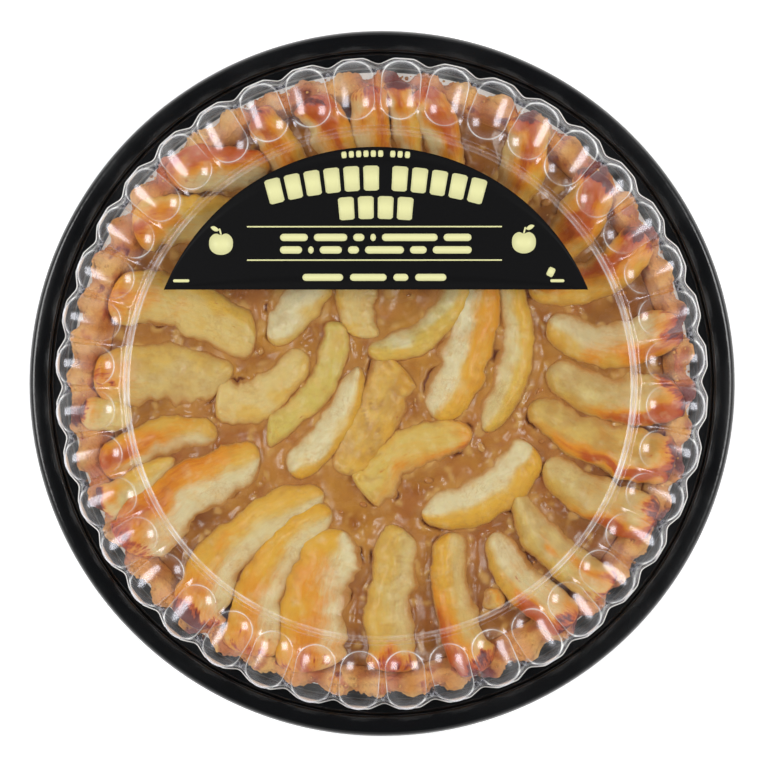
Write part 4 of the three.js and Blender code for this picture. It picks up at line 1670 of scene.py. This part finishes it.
    def outer_part(self) -> np.ndarray:
        """Grid of the outer end, one half: sideways it falls as the crown's
        circle does and outward by (1 - (1 - (0.945 u)^4)^(1/4)) of its drop at
        u of its reach, then down the wall.

        Returns:
            (spokes, columns, 3) array.
        """
        top, skirt = np.array(self.top), np.array(self.skirt)
        gamma = np.radians(np.concatenate([
            np.linspace(0, 35, self.valley_spokes + 1)[1:],
            np.linspace(35, 90, self.foot_spokes + 1)[1:]]))[:, None]
        share = np.broadcast_to(top[None, :], (len(gamma), len(top)))
        x = self.outer_centre + np.sin(gamma) * self.outer_reach * share
        y = np.cos(gamma) * self.outer_half * share
        slope = self.crown_slope + 2 * self.crown_bend * (self.outer_centre - self.inner_centre)
        round_end = self.end_drop * (1 - (1 - (0.945 * share) ** 4) ** 0.25)
        z = self.crown(self.outer_centre) - slope * np.sin(gamma) * self.outer_reach * share
        z = z - np.cos(gamma) ** 2 * self.drop(self.outer_half * share) - np.sin(gamma) ** 2 * round_end
        edge = np.stack([x[:, -1], y[:, -1], z[:, -1]], -1)
        out = self.border()
        power = 2.2 - 1.2 * np.clip(np.degrees(gamma) / 35, 0, 1)
        low = edge[:, None] + (out - edge)[:, None] * skirt[None, :, None]
        low[..., 2] = out[:, None, 2] + (edge[:, None, 2] - out[:, None, 2]) * (1 - skirt) ** power
        return np.concatenate([np.stack([x, y, z], -1), low], axis=1)

    def flange_part(self) -> tuple[np.ndarray, np.ndarray]:
        """The flange under one half flute: rows run from the scalloped foot
        over a level strip to the flange's own scalloped, turned-down edge.

        Returns:
            (rows, columns, 3) array and its painted glare.
        """
        share = np.linspace(1.0, 0.0, self.foot_spokes + 1)
        inner = self.foot[0] + self.foot[1] * self.scallop(share)
        outer = self.flange[0] + self.flange[1] * self.scallop(share)
        mix = np.array([0.0, 0.12, 0.3, 0.62, 0.76, 1.0, 1.02])[:, None]
        height = np.array([8.0, 7.78, 7.7, 7.7, 7.74, 7.66, 7.25])[:, None]
        # painted highlight along the flange: brightest at the foot and at the turned-down edge
        painted_glare = np.array([1.0, 0.7, 0.25, 0.2, 1.1, 1.6, 1.6])[:, None]
        radius = inner + (outer - inner) * mix
        h = self.half_angle
        grid = np.stack(
            np.broadcast_arrays(radius * np.cos(h * share), radius * np.sin(h * share), height), -1)
        return grid, np.broadcast_to(painted_glare, radius.shape)

    def ring_path(self) -> np.ndarray:
        """Raised ring and flat top, from the fingers inward.

        Returns:
            Rows of radius and height.
        """
        corners = [
            (self.start_radius, self.start_height), (94.75, 35.25, 0.35, 3), (94.1, 37.75, 0.45, 4),
            (93.1, 37.75, 0.4, 4), (92.5, 36.6, 0.4, 3), (0.0, 36.6),
        ]
        return rounded_path(corners, [2, 1, 1, 1, 5])

    def glare_masks(self, half: np.ndarray) -> tuple[np.ndarray, ...]:
        """How much painted glare a half flute has.

        Args:
            half: its grid.

        Returns:
            Arrays like the grid: the painted highlight that every finger has on its outline, what a finger
                has more where its sides face the soft boxes, the painted reflection on its top, and how
                much a spot belongs to the foot band and the wall, whose painted glare shows where they are
                seen edge on.
        """
        spokes = self.valley_spokes + self.foot_spokes
        count = len(half)
        straight = count - spokes
        line = np.tile(np.array(self.top_glare + self.skirt_glare), (count, 1))
        spoke = np.arange(count)
        place = [0, 2 * self.arc_spokes, straight, straight + self.valley_spokes, count]
        # painted highlights along the finger outlines: tip_line on every finger, side_line where its sides
        # face the soft boxes
        tip_line = line * np.interp(spoke, place, [0.62, 0.1, 0.1, 0.6, 1.0])[:, None]
        side_line = line * np.interp(spoke, place, [0.15, 0.68, 0.68, 0.4, 0.0])[:, None]
        radius = np.hypot(half[..., 0], half[..., 1])
        # painted reflection on the fingers' tops
        crown_glare = self.crown_glare * smoothstep(radius, 103.0, 112.0)
        crown_glare[:, len(self.top):] = 0.0
        share = np.arctan2(half[..., 1], half[..., 0]) / self.half_angle
        foot = self.foot[0] + self.foot[1] * self.scallop(np.clip(share, 0, 1))
        # painted glare on the foot band and the walls
        band = smoothstep(radius - foot, -2.2, -1.1)
        walls = np.interp(np.arange(spokes), [0, 8, 11, spokes], [0.9, 1.0, 0.1, 0.0])[:, None]
        walls = walls * smoothstep(radius[-spokes:], 117.0, 118.2)
        band[-spokes:, 8:] = np.maximum(band[-spokes:, 8:], walls[:, 8:])
        return tip_line, side_line, crown_glare, band

    def middle(self, surface: Surface) -> None:
        """Adds the ring and the flat top. A painted highlight lies on the ring's two edges, strongest
        toward the soft boxes and weakest toward +Y.

        Args:
            surface: what they are added to.
        """
        path = self.ring_path()
        outer, inner, between = (path[:, 0] - r for r in (94.3, 92.8, 93.55))
        bead = np.maximum(np.exp(-((outer / 0.28) ** 2)), np.exp(-((inner / 0.28) ** 2)))
        bead = np.maximum(bead, 0.3 * np.exp(-((between / 0.8) ** 4)))
        turn = circle(2 * self.arc_spokes * self.flutes, math.radians(self.first_angle) - self.half_angle)
        # painted highlight: the ring's edges are brighter toward the soft boxes at ±X and dimmer toward +Y
        sideways = 0.22 + 0.78 * np.abs(np.cos(turn)) ** 1.5
        sideways = sideways * (1 - 0.45 * smoothstep(np.sin(turn), 0.15, 0.75))
        surface.grid(turned(path, turn), loop=True, edge=bead[:, None] * sideways)

    def weather(self, surface: Surface) -> None:
        """Makes the sheet a little wavy, and its painted glare patchy, stronger toward the foot and a fifth
        weaker toward ±Y, away from the soft boxes.

        Args:
            surface: the whole sheet, changed in place.
        """
        for block, *shades in zip(surface.points, surface.masks["edge"], surface.masks["wall"]):
            block[:, 2] += 0.05 * waves(block, 26.0, 61, 2)
            radius = np.hypot(block[:, 0], block[:, 1])
            side = np.abs(block[:, 0]) / np.maximum(radius, 1.0)
            foot = smoothstep(radius, 117.5, 120.5)
            patchy = np.clip(0.7 + 0.26 * waves(block, 12.0, 62, 2) + 0.65 * foot, 0.2, 1.4)
            for shade in shades:
                # the painted glare is a fifth weaker toward ±Y, away from the soft boxes
                shade *= patchy * (0.8 + 0.2 * side)

    def build(self) -> bpy.types.Object:
        """Makes the sheet, then gives it its thickness inward.

        Returns:
            The piece.
        """
        half = np.concatenate([self.inner_part(), self.outer_part()])
        tip_line, side_line, crown_glare, band = self.glare_masks(half)
        rim, rim_glare = self.flange_part()
        surface = Surface("dome_sheet")
        for i in range(self.flutes):
            angle = math.radians(self.first_angle) + 2 * self.half_angle * i
            spin = rotation(angle)
            upward, sideways = math.sin(angle), np.array(abs(math.sin(angle)))
            # painted glare: stronger on the tops of fingers that point to +Y, and on the side lines of
            # fingers pointing to ±Y, whose sides face the soft boxes
            painted_glare = crown_glare * (0.7 + 0.7 * max(upward, 0.0)) + tip_line
            painted_glare = painted_glare + side_line * smoothstep(sideways, 0.4, 0.95)
            for side in (1.0, -1.0):
                turned_half = (half * [1.0, side, 1.0]) @ spin
                surface.grid(turned_half, flip=side < 0, edge=painted_glare, wall=band)
                surface.grid((rim * [1.0, side, 1.0]) @ spin, flip=side < 0, edge=rim_glare)
        self.middle(surface)
        self.weather(surface)
        piece = surface.build(self.finish.material(), "dome")
        thick = piece.modifiers.new("sheet", "SOLIDIFY")
        thick.thickness = self.wall * MM
        thick.offset = -1.0
        piece.data.materials.append(ClearSheet(glare=0.0).material())
        thick.material_offset = 1
        return piece


@dataclass
class Label:
    """Black half-round sticker with plain pale shapes printed on it."""

    paper: LabelPaper = LabelPaper()
    ink: LabelInk = LabelInk()
    centre: tuple = (-1.5, 3.5)
    radius: float = 84.4
    chord: float = 35.4
    bottom: float = 36.9
    top: float = 37.2
    ink_bottom: float = 37.205
    ink_top: float = 37.26
    arch: float = 150.0  # radius of the arched rows of print

    def sticker(self) -> bpy.types.Object:
        """The half-round sheet: columns run along its straight edge, rows
        from that edge up to the arc.

        Returns:
            The piece.
        """
        lift = self.chord - self.centre[1]
        reach = math.acos(lift / self.radius)
        swing = np.linspace(-reach, reach, 181)
        x = self.centre[0] + self.radius * np.sin(swing)
        arc_y = self.centre[1] + self.radius * np.cos(swing)
        share = np.linspace(0, 1, 9)[:, None]
        y = self.chord + (arc_y - self.chord) * share
        flat = np.stack(np.broadcast_arrays(x, y), -1)
        upper = np.concatenate([flat, np.full((*flat.shape[:2], 1), self.top)], -1)
        lower = np.concatenate([flat, np.full((*flat.shape[:2], 1), self.bottom)], -1)
        rim = np.concatenate([flat[0], flat[-1, -2:0:-1]])
        wall = np.stack([
            np.column_stack([rim, np.full(len(rim), z)]) for z in (self.bottom, self.top)])
        surface = Surface("label_sticker").grid(upper).grid(lower, flip=True).grid(wall, loop=True)
        return surface.build(self.paper.material(), "label")

    def strip(self, surface: Surface, low: np.ndarray, high: np.ndarray) -> None:
        """Adds a thin printed shape between two lines of points in plan.

        Args:
            surface: what it is added to.
            low: its lower edge, left to right, (n, 2).
            high: its upper edge, with as many points.
        """
        def at(line: np.ndarray, z: float) -> np.ndarray:
            """The line at a height."""
            return np.column_stack([line, np.full(len(line), z)])

        bottom, top = self.ink_bottom, self.ink_top
        loop = np.stack([at(low, bottom), at(low, top), at(high, top), at(high, bottom)], 1)
        ends = ring_middles(loop)
        surface.grid(np.concatenate([ends[:1], loop, ends[1:]]), loop=True, flip=True)

    def bar(self, surface: Surface, x0: float, x1: float, y0: float, y1: float) -> None:
        """A straight bar whose ends are half ellipses.

        Args:
            surface: what it is added to.
            x0: its left end.
            x1: its right end.
            y0: its lower side.
            y1: its upper side.
        """
        soft = min(y1 - y0, x1 - x0) / 2
        t = np.linspace(0, math.pi / 2, 6)
        left, right = x0 + soft * (1 - np.cos(t)), x1 - soft * (1 - np.cos(t))
        x = np.concatenate([left, right[::-1]])
        half = (y1 - y0) / 2 * np.concatenate([np.cos(t)[::-1], np.cos(t)])
        half = np.maximum(half, 0.01)
        middle = (y0 + y1) / 2
        self.strip(surface, np.column_stack([x, middle - half]), np.column_stack([x, middle + half]))

    def tile(self, surface: Surface, x: float, y: float, width: float, height: float) -> None:
        """A block with soft corners on a wide arch, whose top is over the
        label's middle.

        Args:
            surface: what it is added to.
            x: its middle, along the arch.
            y: its middle's height on the label at the arch's top.
            width: its size along the arch.
            height: its size across the arch.
        """
        across = np.linspace(x - width / 2, x + width / 2, 9) / self.arch
        ring = np.column_stack([np.sin(across), np.cos(across)])
        soft = 0.6 * np.abs(np.linspace(-1, 1, 9)[:, None]) ** 8
        middle = np.array([self.centre[0], y - self.arch])
        low, high = self.arch - height / 2 + soft, self.arch + height / 2 - soft
        self.strip(surface, middle + ring * low, middle + ring * high)

    def fruit_sign(self, surface: Surface, x: float, y: float, size: float, lean: int) -> None:
        """A plain round fruit with a stalk and one leaf: the body is a circle
        made fuller by a power of 0.8 and dented on top by e^(-(x/0.3)^2).

        Args:
            surface: what it is added to.
            x: its middle, to the right.
            y: its middle, upward.
            size: its half width.
            lean: 1 puts the leaf on its right and -1 on its left.
        """
        t = np.linspace(math.pi, 0, 25)
        across = size * np.cos(t)
        body = size * np.sin(t) ** 0.8 + 0.01
        low = np.column_stack([x + across, y - body * 0.98])
        dip = 0.22 * size * np.exp(-((across / (0.3 * size)) ** 2))
        self.strip(surface, low, np.column_stack([x + across, y + body * 0.9 - dip]))
        stalk = np.linspace(0, 1, 5)
        sx = x + lean * 0.12 * size * stalk
        sy = y + size * (0.72 + 0.5 * stalk)
        wide = 0.07 * size
        self.strip(surface, np.column_stack([sx - wide, sy]), np.column_stack([sx + wide, sy]))
        leaf = np.linspace(0, 1, 13)
        lx = x + lean * size * (0.16 + 0.72 * leaf)
        ly = y + size * (1.08 + 0.25 * leaf)
        fat = 0.2 * size * np.sin(math.pi * leaf) ** 0.8 + 0.01
        order = slice(None) if lean > 0 else slice(None, None, -1)
        self.strip(surface, np.column_stack([lx, ly - fat])[order], np.column_stack([lx, ly + fat])[order])

    def print_shapes(self) -> bpy.types.Object:
        """All the printed shapes as one piece: three arched rows of tiles,
        two rules, two rows and a line of bars, and a fruit on either side.

        Returns:
            The piece.
        """
        surface = Surface("label_print")
        cx = self.centre[0]
        rows = (
            ((6, 5), 76.4, 9.2, 5.7, 1.5), ((4,), 65.6, 8.4, 5.7, 1.5), ((6, 3), 85.4, 2.4, 1.9, 0.8))
        for row, y, height, width, gap in rows:
            space = 2.2 * gap
            total = sum(row) * (width + gap) - gap + (len(row) - 1) * space
            x = -total / 2
            for word in row:
                for _ in range(word):
                    self.tile(surface, x + width / 2, y, width, height)
                    x += width + gap
                x += space
        self.bar(surface, cx - 47.5, cx + 46.5, 58.3, 58.8)
        self.bar(surface, cx - 47.5, cx + 46.5, 46.0, 46.5)
        for y, words in ((54.6, (5, 6, 2, 1, 10, 5)), (50.0, (4, 1, 4, 2, 7, 3, 7))):
            unit, gap = 2.05, 2.2
            total = sum(words) * unit + gap * (len(words) - 1)
            x = cx - total / 2
            for word in words:
                self.bar(surface, x, x + word * unit, y - 1.35, y + 1.35)
                x += word * unit + gap
        for x0, x1 in ((-27, -12), (-9.5, 4), (6.5, 12), (14.5, 26)):
            self.bar(surface, cx + x0, cx + x1, 38.6, 41.2)
        self.bar(surface, -76.2, -70.2, 38.1, 39.2)
        self.bar(surface, 62.7, 67.9, 38.1, 39.2)
        self.tile(surface, 66.6, 56.4, 2.6, 3.4)
        self.fruit_sign(surface, -58.5, 52.5, 4.4, -1)
        self.fruit_sign(surface, 53.0, 53.0, 4.4, 1)
        return surface.build(self.ink.material(), slot="label")

    def build(self) -> list[bpy.types.Object]:
        """The sticker and its print."""
        return [self.sticker(), self.print_shapes()]


# ------------------------------------------------------------------- studio


@dataclass
class Studio:
    """White floor, two soft boxes left and right, and the overhead camera."""

    aim: tuple = (1.3, 0.4, 24.0)
    distance: float = 1176.0
    lens: float = 148.0
    tilt: float = 1.5
    box_angle: float = 37.0
    box_size: tuple = (430.0, 520.0)
    box_distance: float = 1130.0
    box_shift: float = 60.0
    power: float = 6.0
    horizon: tuple = (0.74, 0.74, 0.74, 1.0)
    overhead: tuple = (0.06, 0.061, 0.063, 1.0)
    floor_size: float = 8000.0
    floor_tones: tuple = ((0.88, 0.88, 0.88, 1), (0.9, 0.9, 0.9, 1))
    floor_glow: float = 0.5
    diagonal: float = 0.7071  # sine and cosine of 45 degrees

    def floor(self) -> None:
        """A wide pale floor with a little light of its own."""
        bpy.ops.mesh.primitive_plane_add(size=self.floor_size * MM, location=(0.0, 0.0, -0.2 * MM))
        plane = bpy.context.object
        plane.name = "floor"
        tree = Tree("floor_white")
        tone = tree.mix(tree.noise(400.0, 1.0), *self.floor_tones)
        white = (1.0, 1.0, 1.0, 1.0)
        plane.data.materials.append(
            tree.principled(
                Base_Color=tone,
                Roughness=0.9,
                Emission_Color=white,
                Emission_Strength=self.floor_glow,
            )
        )

    def light(self, side: int) -> None:
        """One soft box, turned to the pack.

        Args:
            side: -1 puts it on the -X side and 1 on the +X side.
        """
        data = bpy.data.lights.new(f"soft_box_{'left' if side < 0 else 'right'}", "AREA")
        data.shape = "RECTANGLE"
        data.size, data.size_y = self.box_size[0] * MM, self.box_size[1] * MM
        data.energy = self.power
        lamp = bpy.data.objects.new(data.name, data)
        bpy.context.collection.objects.link(lamp)
        turn = math.radians(self.box_angle)
        place = Vector((side * math.sin(turn), 0.0, math.cos(turn))) * self.box_distance * MM
        place.y = self.box_shift * MM
        lamp.location = place
        lamp.rotation_euler = (0.0, side * turn, 0.0)
        lamp.visible_camera = False

    def world(self) -> None:
        """Air that is pale near the horizon and dim overhead."""
        world = bpy.data.worlds.new("studio")
        bpy.context.scene.world = world
        world.use_nodes = True
        tree = Tree("studio_air", world)
        place = tree.add("ShaderNodeTexCoord").outputs["Generated"]
        upward = tree.add("ShaderNodeSeparateXYZ", {}, {0: place}).outputs["Z"]
        climb = Value(tree, upward).over(0.55, 0.88)
        glow = tree.add(
            "ShaderNodeBackground", {}, {"Color": tree.mix(climb, self.horizon, self.overhead)})
        tree.add("ShaderNodeOutputWorld", {}, {"Surface": glow.outputs[0]})

    def camera(self) -> None:
        """Looks down on the pack, a little off upright toward +X and +Y."""
        data = bpy.data.cameras.new("camera")
        data.lens, data.sensor_width = self.lens, 36.0
        data.clip_start, data.clip_end = 0.05, 20.0
        camera = bpy.data.objects.new("camera", data)
        bpy.context.collection.objects.link(camera)
        low, high = (Vector(corner) for corner in CAD_BOX)
        aim = (low + high) / 2
        aim.z = low.z
        aim += Vector(self.aim) * MM
        lean = math.radians(self.tilt)
        aside = math.sin(lean) * self.diagonal
        away = Vector((aside, aside, math.cos(lean)))
        camera.location = aim + away * self.distance * MM
        look = (aim - camera.location).normalized()
        right = look.cross(Vector((0.0, 1.0, 0.0))).normalized()
        up = right.cross(look)
        camera.rotation_mode = "QUATERNION"
        camera.rotation_quaternion = Matrix((right, up, -look)).transposed().to_quaternion()
        bpy.context.scene.camera = camera

    def build(self) -> None:
        """Sets the whole studio up."""
        self.camera()
        self.floor()
        self.light(-1)
        self.light(1)
        self.world()
        bpy.context.scene.view_settings.view_transform = "Standard"


def main() -> None:
    """Builds every piece in order and the studio round them."""
    logging.basicConfig(level=logging.INFO, format="%(message)s")
    bed = Bed()
    fruit = FruitSlices(bed)
    Studio().build()
    Tray().build()
    CardDisc().build()
    Crust(bed, fruit).build()
    Crumbs().build()
    FruitGel(bed, fruit).build()
    fruit.build()
    Dome().build()
    Label().build()


if __name__ == "__main__":
    main()
